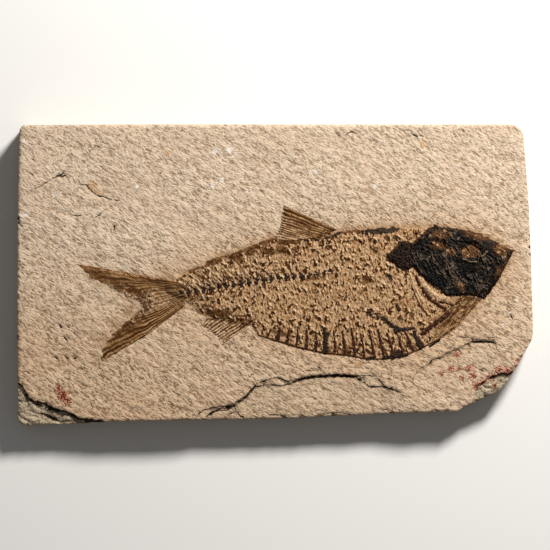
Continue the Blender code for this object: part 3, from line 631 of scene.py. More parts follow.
BLOTS = [
    (-7.4, 6.8, 1.6, 1.3, 0), (-2.0, 7.1, 2.6, 1.3, -15), (2.5, 7.1, 1.6, 0.9, 0), (6.0, 7.5, 1.4, 1.2, 0),
    (4.5, 10.0, 4.0, 0.9, 0), (-6.0, 8.6, 3.2, 0.8, 30), (-11.2, 4.9, 2.0, 1.2, 0), (-19.0, 3.6, 3.0, 1.0, 20),
    (-11.7, 6.6, 2.4, 0.8, 15), (30.1, 7.5, 1.1, 1.4, 0), (33.6, 11.1, 1.1, 1.0, 0), (36.0, 11.3, 1.0, 0.8, 0),
    (27.5, -0.9, 1.6, 1.1, 0), (-15.9, -11.3, 4.2, 1.3, 0), (41.0, -12.0, 1.1, 1.3, 20), (37.6, -13.0, 1.2, 0.9, -30),
]
BLACK_PATCHES = [
    (31.5, 13.4, 8.0, 1.5, 3), (37.5, 9.3, 1.2, 1.2, 0), (34.5, -0.6, 0.9, 1.6, 20),
    (24.5, -22.6, 1.2, 0.8, 30), (36.6, 13.8, 1.2, 0.8, 0), (9.4, 10.3, 1.4, 0.5, 0), (12.6, 10.4, 1.3, 0.5, 5),
    (15.6, 11.1, 1.6, 0.6, 15), (18.6, 12.3, 1.8, 0.7, 22),
]
# Pale raised strips of bone between the skull and the shoulder, each with its half width
PALE_STRIPS = [
    ([(43.6, -0.9), (44.9, -3.1), (46.8, -5.1), (49.2, -6.6), (51.8, -7.0)], 0.75),
    ([(40.4, 0.4), (41.5, -2.6), (43.2, -6.0), (45.2, -9.0)], 0.34),
    ([(46.6, -1.4), (48.0, -3.4), (49.8, -4.8)], 0.3),
    ([(27.4, 2.1), (28.6, 0.2), (30.8, -1.4), (33.0, -3.0)], 0.25),
    ([(52.4, -5.9), (53.0, -6.3)], 0.4),
]


def patches(x, y, places):
    """1 in the middle of each tilted oval patch, and 0 at its rim."""
    found = np.zeros(np.shape(x))
    for px, py, length, width, tilt in places:
        turn = math.radians(tilt)
        along = (x - px) * math.cos(turn) + (y - py) * math.sin(turn)
        across = (y - py) * math.cos(turn) - (x - px) * math.sin(turn)
        found = np.maximum(found, 1 - np.hypot(along / length, across / width))
    return found


def across_body(x, y):
    """0 on the fish's belly line and 1 on its back."""
    low, high = np.interp(x, *zip(*BELLY_LINE)), np.interp(x, *zip(*BACK_LINE))
    return np.clip((y - low) / np.maximum(high - low, 1.0), 0.0, 1.0)


def ground_level(x, y):
    """The smooth level on which bones and fins lie: the split face, and the swollen flank inside the fish."""
    across = across_body(x, y)
    swell = FLANK_STEP + FLANK_SWELL * np.sqrt(4 * across * (1 - across))
    soft = np.maximum(ramp(across, 0.5, 0.9), ramp(-x, 2, 16))  # the back and the tail root fade into the stone
    return STONE_THICKNESS + bedding(x, y) + swell * ramp(depth_inside(x, y, FISH_OUTLINE), -0.3, 0.3 + 1.4 * soft)


def speck_field(x, y):
    """Above zero where a dark rest of a scale lies: rows of short strokes, crowded along the back."""
    across = across_body(x, y)
    over_spine = y - np.interp(x, *zip(*BACKBONE_LINE))
    crowd = 0.5 * ramp(over_spine, -1, 4) * ramp(26 - x, -8, 14) + 0.7 * ramp(across, 0.78, 0.98) * ramp(22 - x, -6, 12)
    crowd += 0.35 * ramp(-x, -4, 16) + 0.3 * ramp(across, 0.3, 0.08) - 0.3 * ramp(x, 26, 36) * ramp(across, 0.9, 0.5)
    warp_x, warp_y = 0.8 * field(x / 1.1, y / 1.1, 40.0), 0.8 * field(x / 1.1, y / 1.1, 41.0)
    u, v = (x + warp_x) / SCALE_SPACING, (y + warp_y) / SCALE_SPACING
    along, beside = u * 0.3 - v * 0.95, u * 0.95 + v * 0.3
    places = zip((along * 0.68).tolist(), (beside * 1.08).tolist())
    reach = np.array([noise.voronoi((a, b, 0.5))[0][0] for a, b in places])
    return 0.32 + 0.1 * crowd + 0.24 * field(x / 2.4, y / 2.0, 42.0) + 0.3 * field(x / 0.6, y / 0.6, 43.0) - reach


def flank_shape(x, y, ring):
    """The flank's surface. Beyond the fish's outline it dives into the stone."""
    body = depth_inside(x, y, FISH_OUTLINE)
    across = across_body(x, y)
    over_spine = y - np.interp(x, *zip(*BACKBONE_LINE))
    soft = np.maximum(ramp(across, 0.5, 0.9), ramp(-x, 2, 16))  # the back and the tail root fade into the stone
    ragged = (0.15 + 0.6 * soft) * field(x / 1.2, y / 1.2, 44.0) + 0.15 * field(x / 0.45, y / 0.45, 45.0)
    edge = body + ragged
    texture = grain(x, y)
    specks, lit_crests = speck_field(x, y), speck_field(x - 0.36, y - 0.36)
    strips = np.zeros(np.shape(x))
    for line, half in PALE_STRIPS:
        gap, _ = from_line(x, y, line)
        strips = np.maximum(strips, 1 - (gap / half) ** 2)
    top = ground_level(x, y) + texture * 0.8 + 0.25 * strips
    top += SCALE_RISE * (ramp(lit_crests, -0.08, 0.12) - 0.5 * ramp(specks, -0.05, 0.1)) * ramp(body, 0.0, 1.0)
    top -= 0.5 * ramp(-edge, 0.15, 0.6)
    skull = depth_inside(x, y, SKULL_OUTLINE)
    top -= 0.4 * ramp(skull, 0.6, 1.2)
    band = np.exp(-np.maximum(body, 0) / 1.5) * ramp(across, 0.5, 0.8) * ramp(x, -30, -22) * ramp(18 - x, -4, 8)
    keel = np.exp(-np.maximum(body, 0) / 0.5) * ramp(0.5 - across, 0, 0.3) * ramp(x, -6, 2)
    throat = ramp(x, 46, 50) * ramp(7.5 - body, 0.0, 3.0) * ramp(0.7 - across, 0, 0.4)
    calm = 1 - np.maximum(ramp(strips, 0.0, 0.5), throat * 0.6)
    combed = ramp(over_spine, 0.0, 1.0) * ramp(8 - x, 0, 30) * ramp(body, 0.3, 1.2)
    layers = {
        "grain": texture,
        "film": ramp(edge, -0.3, 0.4 + 1.0 * soft),
        "specks": np.where(edge > -0.1, specks * calm - (1 - calm) * 0.3 - 0.12 * combed, -0.5),
        "dusk": np.maximum(np.maximum(band, keel * 0.8), np.maximum(patches(x, y, BROWN_PATCHES) * 1.35, throat * 0.62)),
        "combed": combed,
        "swept": np.maximum(ramp(-over_spine, 0, 1.0) * ramp(-x, 14, 22) * ramp(body, 0.0, 1.0), throat),
        "tar": np.maximum(patches(x, y, BLACK_PATCHES) * 1.3, ramp(skull, -0.6, 0.2)),
        "blot": patches(x, y, BLOTS),
        "cream": ramp(strips, 0.0, 0.7),
        # Where the cream painted highlight goes: the raised crest on the lamp's side of each speck.
        "lit_crests": ramp(lit_crests, -0.1, 0.1) * ramp(-specks, 0.0, 0.15) * ramp(body, 0.0, 1.0) * calm,
        "halo": np.exp(-np.maximum(body, 0) / 1.6) * soft,
        "warm_tint_and_shade": np.ones(np.shape(x)),
    }
    return x, y, np.where(ring == 0, top, STONE_THICKNESS - BURIED), layers


def relief(name, low, high, cell, keep, shape):
    """A closed piece whose top is laid out over the square cells of a window where keep(x, y) holds."""
    columns, rows = (math.ceil((b - a) / cell) for a, b in zip(low, high))
    x, y = np.meshgrid(low[0] + (np.arange(columns) + 0.5) * cell, low[1] + (np.arange(rows) + 0.5) * cell)
    kept = keep(x, y)
    corners = True
    while np.any(corners):  # no two cells may meet at a corner alone
        a, b, c, d = kept[:-1, :-1], kept[:-1, 1:], kept[1:, :-1], kept[1:, 1:]
        corners = (a & d & ~b & ~c) | (b & c & ~a & ~d)
        a[corners] = b[corners] = c[corners] = d[corners] = False
    sheet = square_sheet(columns, rows)
    middles = np.array([f.calc_center_median()[:2] for f in sheet.faces])
    spare = ~kept[(middles[:, 1] * rows).astype(int), (middles[:, 0] * columns).astype(int)]
    gone = [f for f, drop in zip(sheet.faces, spare.tolist()) if drop]
    bmesh.ops.delete(sheet, geom=gone, context="FACES")
    bmesh.ops.scale(sheet, vec=(columns * cell, rows * cell, 1), verts=sheet.verts)
    bmesh.ops.translate(sheet, vec=(*low, 0), verts=sheet.verts)
    return laid_out(name, skirted(sheet, 1), shape)


# The skull's outline, clockwise from the scaly patch's hind tip, which the flank makes room for
SKULL_OUTLINE = [
    (33.5, 6.3), (34.4, 6.4), (36.9, 8.9), (38.4, 10.0), (39.8, 9.9), (41.1, 9.3), (43.8, 11.4),
    (46.2, 14.0), (48.0, 14.9), (49.5, 14.3), (55.6, 13.9), (60.6, 12.6), (65.7, 10.2), (68.4, 8.8),
    (71.5, 7.4), (69.3, 3.1), (66.9, -1.4), (65.7, -3.6), (62.8, -7.1), (60.3, -6.1),
    (56.4, -5.9), (51.6, -6.2), (49.5, -4.2), (47.4, -3.1), (45.5, -1.5), (43.2, 0.6), (41.4, 2.7),
    (40.2, 1.8), (38.9, 1.5), (37.3, 2.2), (36.2, 3.4), (33.9, 4.5),
]

flank = relief(
    "scaled_flank",
    (-34.0, -27.0),
    (73.0, 16.0),
    FLANK_CELL,
    lambda x, y: depth_inside(x, y, FISH_OUTLINE) > -0.9,
    flank_shape,
)
flank.data.materials.append(LIMESTONE)
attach(flank, "root")


# The backbone: a row of small dark vertebrae, with thin spines slanting back above and below them. They
# are real bone turned to stone, and stand a little proud of the flank.

VERTEBRA_PITCH = 2.28
VERTEBRA_HALF = 1.05
SPINE_HALF = 0.2
BONE_CELL = 0.13


def bones_shape(bars, rise, seed):
    """The surface of bones laid on the fish: each bar is a line, its half widths at its ends, and its share of rise."""

    def shape(x, y, ring):
        bulge, low = np.full(np.shape(x), -1.0), np.zeros(np.shape(x))
        wobble = 1.0 * field(x / 0.9, y / 0.9, seed) + 1.2 * field(x / 0.45, y / 0.45, seed + 1)
        for line, half_start, half_end, share_of_rise in bars:
            gap, share = from_line(x, y, line)
            half = half_start + (half_end - half_start) * share
            dome = share_of_rise * (1 - (gap / half) ** 2 + wobble)
            low = np.where(dome > bulge, share_of_rise < 0.5, low)
            bulge = np.maximum(bulge, dome)
        top = ground_level(x, y) + rise * np.sqrt(np.maximum(bulge, 0)) - 0.35 * ramp(-bulge, 0.0, 0.8) + grain(x, y) * 0.5
        return x, y, np.where(ring == 0, top, STONE_THICKNESS - BURIED), {"bulge": bulge, "low": low}

    return shape


def bones_near(bars, reach):
    """Whether cells lie on or close to a bar."""

    def keep(x, y):
        found = np.zeros(np.shape(x), bool)
        for line, half_start, half_end, _ in bars:
            gap, _ = from_line(x, y, line)
            found |= np.abs(gap) < max(half_start, half_end) * 1.3 + reach
        return found

    return keep


def window(bars, margin=1.5):
    """The corners of the box around bars."""
    points = np.array([point for bar in bars for point in bar[0]])
    return tuple(points.min(axis=0) - margin), tuple(points.max(axis=0) + margin)


def bone(name, dark, warm, gloss):
    """Fossil bone: dark, with warmer worn patches, fine cracks and a soft gloss."""
    look = Look(name)
    worn = look.noise(0.8, 0.55, 11, 3.0)
    fine = look.noise(0.35, 0.25, 12, 2.0)
    edge = look.layer("bulge").between(0.5, 0.0)
    colour = look.blend(worn.between(0.45, 0.65) * 0.75, dark, warm)
    colour = look.blend((edge + worn - 0.5).between(0.4, 1.0) * 0.7, colour, paint(126, 88, 52))
    colour = look.blend(fine.between(0.58, 0.72) * 0.3, colour, paint(140, 106, 76))
    colour = look.blend(look.layer("low").between(0.2, 0.8) * 0.8, colour, paint(104, 62, 28))
    look.shader.inputs["Specular IOR Level"].default_value = 0.1
    return look.finish(colour, gloss + worn * 0.25, fine + worn, 0.12)


def add_bones(name, bars, rise, seed, material, nodes):
    """Makes one group of bones, and hides the CAD nodes it stands for."""
    piece = relief(name, *window(bars), BONE_CELL, bones_near(bars, 0.2), bones_shape(bars, rise, seed))
    piece.data.materials.append(material)
    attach(piece, "root")
    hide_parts(*nodes)
    return piece


spine_length = sum(math.dist(a, b) for a, b in zip(BACKBONE_LINE, BACKBONE_LINE[1:]))
vertebra_bars = []
for n in range(int(spine_length / VERTEBRA_PITCH)):
    share = n * VERTEBRA_PITCH / spine_length
    if n > 20:
        break
    cx, cy = (float(c) for c in along_line(BACKBONE_LINE, share))
    fading = (1 - 0.45 * max(0, n - 13) / 8) * (0.85 if n < 4 else 1.0)
    tall, skew = VERTEBRA_HALF * fading, 0.25 * math.sin(n * 2.7)
    vertebra_bars.append(([(cx - 0.3 + skew, cy + tall), (cx + 0.1, cy)], 0.36 * fading, 0.5 * fading, 1.0))
    vertebra_bars.append(([(cx + 0.1, cy), (cx - 0.1 - skew, cy - tall * 0.8)], 0.5 * fading, 0.34 * fading, 1.0))
    vertebra_bars.append(([(cx - 0.5, cy - 0.1), (cx + 0.6, cy + 0.35 + skew)], 0.3 * fading, 0.34 * fading, 0.9))
    length = 3.3 * (1 - 0.25 * n / 20) + 0.5 * math.sin(n * 2.1)
    lean = 0.72 - 0.012 * n
    if n < 17:
        tip = (cx - 0.3 - length * lean, cy + 0.6 + length * (1.02 - lean) * 1.5)
        vertebra_bars.append(([(cx - 0.2, cy + 0.5), tip], SPINE_HALF * 1.2, SPINE_HALF * 0.7, 0.55))
    if n < 9:
        tip = (cx - 0.4 - length * 0.5, cy - 0.6 - length * 0.62)
        vertebra_bars.append(([(cx - 0.1, cy - 0.5), tip], SPINE_HALF, SPINE_HALF * 0.6, 0.45))
DARK_BONE = bone("dark_bone", paint(26, 22, 21), paint(60, 42, 30), 0.6)
backbone = add_bones("vertebrae", vertebra_bars, 0.3, 50.0, DARK_BONE, ["backbone"])


# The belly ribs: short purple-brown ribs that stand on the keel of belly scutes, with one broad black rib,
# and loose bones of the belly fins and the breast that lie across the front ones.

RIB_COUNT = 17
RIB_SPAN = (-2.2, 44.2)
RIB_TOP_Y = (-16.3, -17.0)
RIB_LEAN = (1.0, -2.6)
RIB_HALF = 0.5
BROAD_RIB = 6

keel = [(x, y + 0.35) for x, y in BELLY_LINE if RIB_SPAN[0] - 4 < x < RIB_SPAN[1] + 7]
rib_bars = [(keel, 0.11, 0.11, 0.3)]
loose_bars = [
    ([(32.3, -12.8), (35.0, -15.0), (37.2, -16.3)], 0.5, 0.7, 1.0),
    ([(36.2, -16.6), (38.4, -16.3), (41.4, -15.9)], 0.8, 0.5, 1.0),
    ([(32.6, -24.9), (35.2, -24.2), (37.3, -22.8)], 0.35, 0.7, 1.0),
    ([(35.2, -25.2), (37.0, -24.0), (39.6, -23.9)], 0.3, 0.5, 1.0),
    ([(36.0, -23.6), (37.6, -24.8)], 0.4, 0.3, 1.0),
    ([(27.8, -25.0), (30.0, -24.6)], 0.3, 0.4, 0.9),
    ([(46.4, -21.5), (47.8, -20.6), (49.4, -19.3)], 0.25, 0.45, 1.0),
    ([(41.9, -17.2), (42.6, -19.8), (43.8, -21.8)], 0.7, 0.6, 1.0),
    ([(30.2, -11.6), (31.0, -12.8)], 0.4, 0.5, 0.8),
    ([(28.2, -11.0), (28.8, -12.0)], 0.5, 0.4, 0.8),
    ([(36.4, -8.7), (37.2, -10.4)], 0.35, 0.6, 0.8),
]
for n in range(RIB_COUNT):
    share = n / (RIB_COUNT - 1)
    foot_x = RIB_SPAN[0] + (RIB_SPAN[1] - RIB_SPAN[0]) * share
    top_x = foot_x + RIB_LEAN[0] + (RIB_LEAN[1] - RIB_LEAN[0]) * share
    top_y = RIB_TOP_Y[0] + (RIB_TOP_Y[1] - RIB_TOP_Y[0]) * share + 0.6 * math.sin(n * 2.3)
    foot = (foot_x, float(np.interp(foot_x, *zip(*keel))) + 0.5)
    half = 1.0 if n == BROAD_RIB else RIB_HALF * (1 + 0.2 * math.sin(n * 1.7))
    middle = ((foot[0] + top_x) / 2 + 0.15, (foot[1] + top_y) / 2)
    group = loose_bars if n == BROAD_RIB else rib_bars
    group.append(([foot, middle, (top_x, top_y)], half, half * 0.55, 1.0))
PLUM_BONE = bone("plum_bone", paint(42, 18, 14), paint(84, 48, 28), 0.6)
ribs = add_bones("ribs_and_keel", rib_bars, 0.28, 55.0, PLUM_BONE, ["belly_ribs"])
loose = add_bones("loose_bones", loose_bars, 0.3, 60.0, DARK_BONE, ["belly_ribs"])


# The shoulder bone: it follows the gill cover as a thin dark rim, and turns back along the throat as a
# broad flat blade.

SHOULDER_LINE = [(42.3, -0.4), (43.4, -2.9), (45.2, -5.4), (47.0, -7.4), (49.0, -8.9), (51.2, -10.2)]
shoulder_bars = [
    (SHOULDER_LINE, 0.36, 0.55, 1.0),
    ([(41.0, -3.2), (42.2, -6.4), (43.6, -9.2), (45.6, -11.6)], 0.18, 0.22, 0.6),
    ([(51.9, -11.6), (49.6, -13.4), (47.0, -15.4), (44.2, -17.6)], 0.75, 0.7, 1.0),
    ([(49.6, -8.0), (51.6, -8.4), (53.4, -9.0)], 0.3, 0.25, 0.8),
]
shoulder = add_bones("shoulder_blade", shoulder_bars, 0.32, 65.0, PLUM_BONE, ["shoulder_bone"])


# The fins: fans of thin brown rays pressed flat on the stone, with a thinner film of skin between them.
# Each is given by its root, its middle and its trailing edge, whose points belong to the same rays.

FIN_RISE = 0.2
RAY_RISE = 0.12
FIN_DIVE = 0.5
TAIL_FIN = [
    [
        (-25.4, -2.8), (-25.6, -3.3), (-25.7, -3.8), (-25.8, -4.3), (-25.9, -4.8), (-25.9, -5.3),
        (-25.9, -5.8), (-25.8, -6.3), (-25.7, -6.9), (-25.5, -7.4), (-25.2, -8.0),
    ],
    [
        (-42.6, 0.5), (-40.2, -1.8), (-37.9, -2.9), (-35.6, -4.5), (-33.2, -5.9), (-32.4, -7.2),
        (-33.6, -9.3), (-35.1, -11.1), (-36.9, -13.5), (-38.2, -16.0), (-38.9, -18.4),
    ],
    [
        (-59.8, 3.6), (-55.4, -0.8), (-50.4, -3.2), (-45.4, -6.1), (-41.2, -7.9), (-39.8, -9.2),
        (-42.2, -11.8), (-45.6, -14.6), (-49.6, -18.4), (-52.0, -22.8), (-52.5, -26.4),
    ],
]
DORSAL_FIN = [
    [(19.6, 13.2), (17.4, 12.1), (14.2, 11.1), (10.4, 10.7), (5.0, 10.3)],
    [(2.3, 21.1), (1.7, 17.6), (1.3, 15.2), (1.0, 13.2), (-0.6, 10.9)],
]
ANAL_FIN = [
    [(-6.4, -14.2), (-12.0, -13.3), (-20.4, -12.8)],
    [(-15.4, -20.6), (-18.6, -17.4), (-21.8, -15.0)],
]


def fan_place(lines, across, along):
    """Where a point of a fan lies, by its shares across the rays and along them."""
    stops = []
    for line in lines:
        marks = np.linspace(0, 1, len(line))
        stops.append([np.interp(across, marks, coordinates) for coordinates in zip(*line)])
    spans = [np.hypot(b[0] - a[0], b[1] - a[1]) for a, b in zip(stops, stops[1:])]
    run = along * sum(spans)
    x, y = stops[0]
    for (ax, ay), (bx, by), span in zip(stops, stops[1:], spans):
        part = np.clip(run / span, 0.0, 1.0)
        x, y = x + (bx - ax) * part, y + (by - ay) * part
        run = run - span
    return x, y


def fan_shape(lines, rays, free_tips, seed, cover):
    """A fin's surface: a ridge for each ray, whose tip stands free of the film, sunk into the stone at its rim."""

    def shape(across, along, ring):
        x, y = fan_place(lines, across, along)
        ragged = 0.035 * field(x / 1.3, y / 1.3, seed) + 0.03 * field(x / 0.5, y / 0.5, seed + 1)
        drift = across * rays + 0.35 * field(x / 2.5, y / 2.5, seed + 2)
        on_ray = np.cos(2 * np.pi * drift) * (1 - 0.3 * along)
        side = np.minimum(across, 1 - across) * 2.5
        trail = (1 - along) * 1.6 - free_tips * (1 - np.cos(2 * np.pi * drift)) * ramp(side, 0.1, 0.5)
        edge = np.minimum(side + ragged * 0.6, trail + ragged)
        thinning = 0.4 * ramp(0.2 - trail, 0.0, 0.2) * ramp(side, 0.1, 0.5)
        top = ground_level(x, y) + FIN_RISE * ramp(edge, -0.01, 0.08) + RAY_RISE * on_ray * 0.5
        top += grain(x, y) * 0.7 - FIN_DIVE * ramp(-edge, -0.012, 0.01) - 0.35 * ramp(along + 0.08 * field(x / 0.7, y / 0.7, seed + 3), 0.09, 0.03)
        thick, blotch, streaky = cover(across, along)
        layers = {
            "ray": drift,
            "along": along,
            "edge": edge,
            "streaky": streaky,
            "thick": thick * ramp(edge, -0.02, 0.03) - thinning,
            "blotch": blotch * ramp(edge, -0.02, 0.06),
            "grain": grain(x, y),
            "warm_tint_and_shade": np.ones(np.shape(x)),
        }
        return x, y, np.where(ring == 0, top, STONE_THICKNESS - BURIED), layers

    return shape


def fin_film(name, seed):
    """Brown rays and blotches over a thin film, which lets the stone show between them."""
    look = Look(name)
    colour, height = stone_face(look)
    thick, blotch, ray = look.layer("thick"), look.layer("blotch"), look.layer("ray")
    patch = look.noise(1.5, 1.0, seed + 2, 3.0)
    fine = look.noise(0.5, 0.4, seed + 3, 3.0)
    along_ray = look.node("CombineXYZ", {}, {0: ray * 1.5, 1: look.layer("along") * 2.5, 2: seed})
    fibres = look.node("TexNoise", {}, {"Vector": along_ray, "Scale": 1.0, "Detail": 3.0})
    wave = look.node("Math", {"operation": "COSINE"}, {0: ray * (2 * math.pi)})
    film = (thick + (patch - 0.5) * 1.2 + (fine - 0.5) * 1.2).between(0.05, 0.65)
    brown = look.blend(fine.between(0.4, 0.6), paint(90, 54, 16), paint(138, 94, 46))
    colour = look.blend(film * 0.9, colour, brown)
    lines = wave * 0.28 + (fibres - 0.5) * 1.9 + (fine - 0.5) * 0.8 + thick * 0.2
    fading = look.layer("edge").between(0.0, 0.05)
    dark = lines.between(0.0, 0.4) * fading * (look.layer("streaky").between(0.0, 0.9) * 0.5 + 0.45)
    colour = look.blend(dark, colour, paint(50, 25, 3))
    light = (0.0 - lines).between(0.04, 0.34) * fading * look.layer("streaky")
    colour = look.blend(light * 0.85, colour, paint(194, 156, 112))
    mottle = (blotch + (patch - 0.5) * 1.8 + (fine - 0.5) * 1.8).between(0.35, 0.7)
    colour = look.blend(mottle * 0.85, colour, paint(62, 32, 6))
    look.shader.inputs["Specular IOR Level"].default_value = 0.08
    return look.finish(colour, 0.7 + patch * 0.25, height * 0.6 + lines * 0.3, 0.36)


def add_fin(name, lines, rays, free_tips, cells, seed, cover, node):
    """Makes one fin over its CAD node; cover gives how thick its film is, how blotched, and how streaky."""
    piece = laid_out(name, skirted(square_sheet(*cells), 1), fan_shape(lines, rays, free_tips, seed, cover))
    piece.data.materials.append(fin_film(name + "_film", seed))
    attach(piece, "root")
    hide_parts(node)


def tail_cover(across, along):
    lobes = ramp(np.abs(across - 0.48), 0.1, 0.3)
    margin = ramp(along, 0.5, 0.8) * ramp(across, 0.05, 0.2) * ramp(0.92 - across, 0, 0.15)
    leading = ramp(0.09 - across, 0.0, 0.06) + 0.9 * ramp(across, 0.92, 0.97)
    thick = 0.45 + 0.35 * lobes - 0.1 * margin
    streaky = 0.5 + 0.5 * ramp(across, 0.6, 0.75) + 0.3 * ramp(0.22 - across, 0, 0.1)
    streaky = streaky * (1 - 0.8 * margin) + ramp(0.4 - along, 0, 0.2)
    return thick, 0.6 * margin + 0.4 * leading + 0.2 * ramp(0.3 - along, 0.0, 0.2), streaky


def dorsal_cover(across, along):
    root = ramp(0.2 - along, 0, 0.15)
    return 0.85 - 0.6 * across + 0.3 * root, 0.4 - 0.4 * across + 0.4 * root, 0.7 + 0.4 * across


def anal_cover(across, along):
    root = ramp(0.4 - along, 0, 0.3)
    return 0.3 + 0.3 * root, 0.15 + 0.5 * root, 1.2 + 0 * along


add_fin("tail_rays", TAIL_FIN, 19, 0.01, (240, 160), 70.0, tail_cover, "tail_fin")
add_fin("dorsal_rays", DORSAL_FIN, 12, 0.05, (130, 90), 75.0, dorsal_cover, "dorsal_fin")
add_fin("anal_rays", ANAL_FIN, 10, 0.05, (99, 45), 80.0, anal_cover, "anal_fin")


# The skull: jaws, gill cover and braincase crushed to one black, wrinkled, glossy crust, with the eye
# socket sunk in it and a patch of black scales behind it.

SKULL_STEP = 0.3
SKULL_DOME = 0.3
ORBIT = (58.6, 7.2)
ORBIT_HALF = (3.3, 2.7)
FOLD_ANGLES = (math.radians(-58), math.radians(-20))  # of the folds below the eye and of those above it
SKULL_CELL = 0.13
# Ridges and furrows of the bone: line, half width, height and how pale it is, or how black below zero. The paleness of
# the raised ridges is partly the bone's own tan and partly painted highlight.
SKULL_LINES = [
    ([(46.1, 14.1), (43.6, 11.2), (40.7, 8.1)], 0.36, 0.12, -1.0),
    ([(45.4, 12.9), (43.3, 10.6), (41.0, 8.0)], 0.14, 0.25, 0.5),
    ([(46.4, 12.7), (44.3, 10.2), (42.3, 7.6)], 0.3, -0.1, -1.0),
    ([(41.1, 7.0), (41.9, 4.4), (43.0, 2.2), (44.0, 0.6)], 0.15, 0.3, 0.5),
    ([(42.4, 6.6), (43.2, 5.2), (43.7, 3.7)], 0.14, 0.25, 0.4),
    ([(46.5, 6.2), (48.3, 3.7), (50.4, 0.0), (52.5, -3.0)], 0.15, 0.32, 0.5),
    ([(50.4, 5.7), (51.9, 4.2), (53.0, 2.2), (54.0, 0.0)], 0.15, 0.3, 0.55),
    ([(44.8, 7.0), (46.0, 6.0), (46.8, 6.6)], 0.13, 0.2, 0.3),
    ([(52.5, 13.1), (57.3, 12.6), (60.5, 11.3), (63.7, 10.0), (66.2, 8.9)], 0.2, 0.25, 0.22),
    ([(55.4, 11.5), (58.6, 11.2), (61.4, 9.6), (63.0, 7.8)], 0.16, 0.25, 0.3),
    ([(55.6, 9.9), (58.9, 9.2), (61.6, 7.7), (62.1, 6.2)], 0.42, -0.4, -1.0),
    ([(61.9, 5.6), (63.7, 6.9)], 0.24, 0.3, 1.0),
    ([(56.5, 5.0), (58.3, 4.0), (60.8, 4.0)], 0.24, 0.25, 0.75),
    ([(52.8, 8.0), (54.4, 5.7)], 0.15, 0.25, 0.75),
    ([(52.5, 3.2), (55.4, -0.3), (56.6, -3.0), (56.4, -5.6)], 0.15, 0.3, 0.5),
    ([(59.2, -2.2), (61.1, -5.5)], 0.16, 0.3, 0.5),
    ([(62.8, 6.0), (62.4, 2.2), (63.0, -1.0)], 0.13, 0.25, 0.35),
    ([(65.0, 5.0), (64.4, 1.4), (64.8, -2.0)], 0.12, 0.2, 0.25),
    ([(67.8, 2.2), (66.6, -2.9)], 0.13, 0.25, 0.4),
    ([(57.3, -1.0), (61.4, -2.6), (63.7, -2.6)], 0.25, -0.25, -0.7),
    ([(50.0, 3.0), (52.6, -1.6), (54.0, -5.2)], 0.4, -0.25, -0.8),
    ([(43.8, 3.4), (46.4, 1.2), (49.2, -1.6), (51.0, -4.0)], 1.3, -0.05, -0.75),
    ([(46.0, 8.0), (45.2, 5.0)], 0.8, -0.1, -0.7),
    ([(58.0, 1.6), (62.0, 1.0)], 1.2, 0.0, -0.5),
    ([(72.0, 6.4), (69.6, 0.8), (67.3, -3.4), (65.0, -6.6)], 0.34, 0.0, 0.45),
]
PALE_FLECKS = [
    (48.6, 9.0, 0.3), (44.7, 11.0, 0.4), (47.6, 9.8, 0.35), (50.9, 13.2, 0.4), (58.6, -1.0, 0.4),
    (67.0, 7.0, 0.5), (68.5, 5.1, 0.6), (55.0, 11.0, 0.3), (56.6, 7.3, 0.4), (57.9, 5.9, 0.5),
    (70.7, 4.0, 0.4), (51.9, -3.8, 0.5), (46.4, 11.7, 0.4), (64.0, 2.0, 0.4), (51.6, 7.4, 0.4),
]
# Where the crust is brown rather than black: middle, half length, half width and tilt
RUSTY_PATCHES = [
    (49.5, 12.0, 4.5, 2.0, -5), (49.0, 9.0, 3.6, 1.8, -20), (60.0, 11.8, 6.0, 1.6, -18), (67.5, 7.5, 3.6, 2.6, -25),
    (57.6, 6.6, 2.6, 2.0, -25), (60.4, 8.0, 2.4, 1.4, -35), (66.8, 1.0, 3.0, 1.0, 65),
    (52.6, 7.0, 2.2, 1.6, -50), (56.0, -3.5, 2.4, 1.0, -60),
]


def ridged(values):
    """Noise folded so that its middle level becomes sharp crests."""
    return 0.35 - np.abs(values) * 1.6


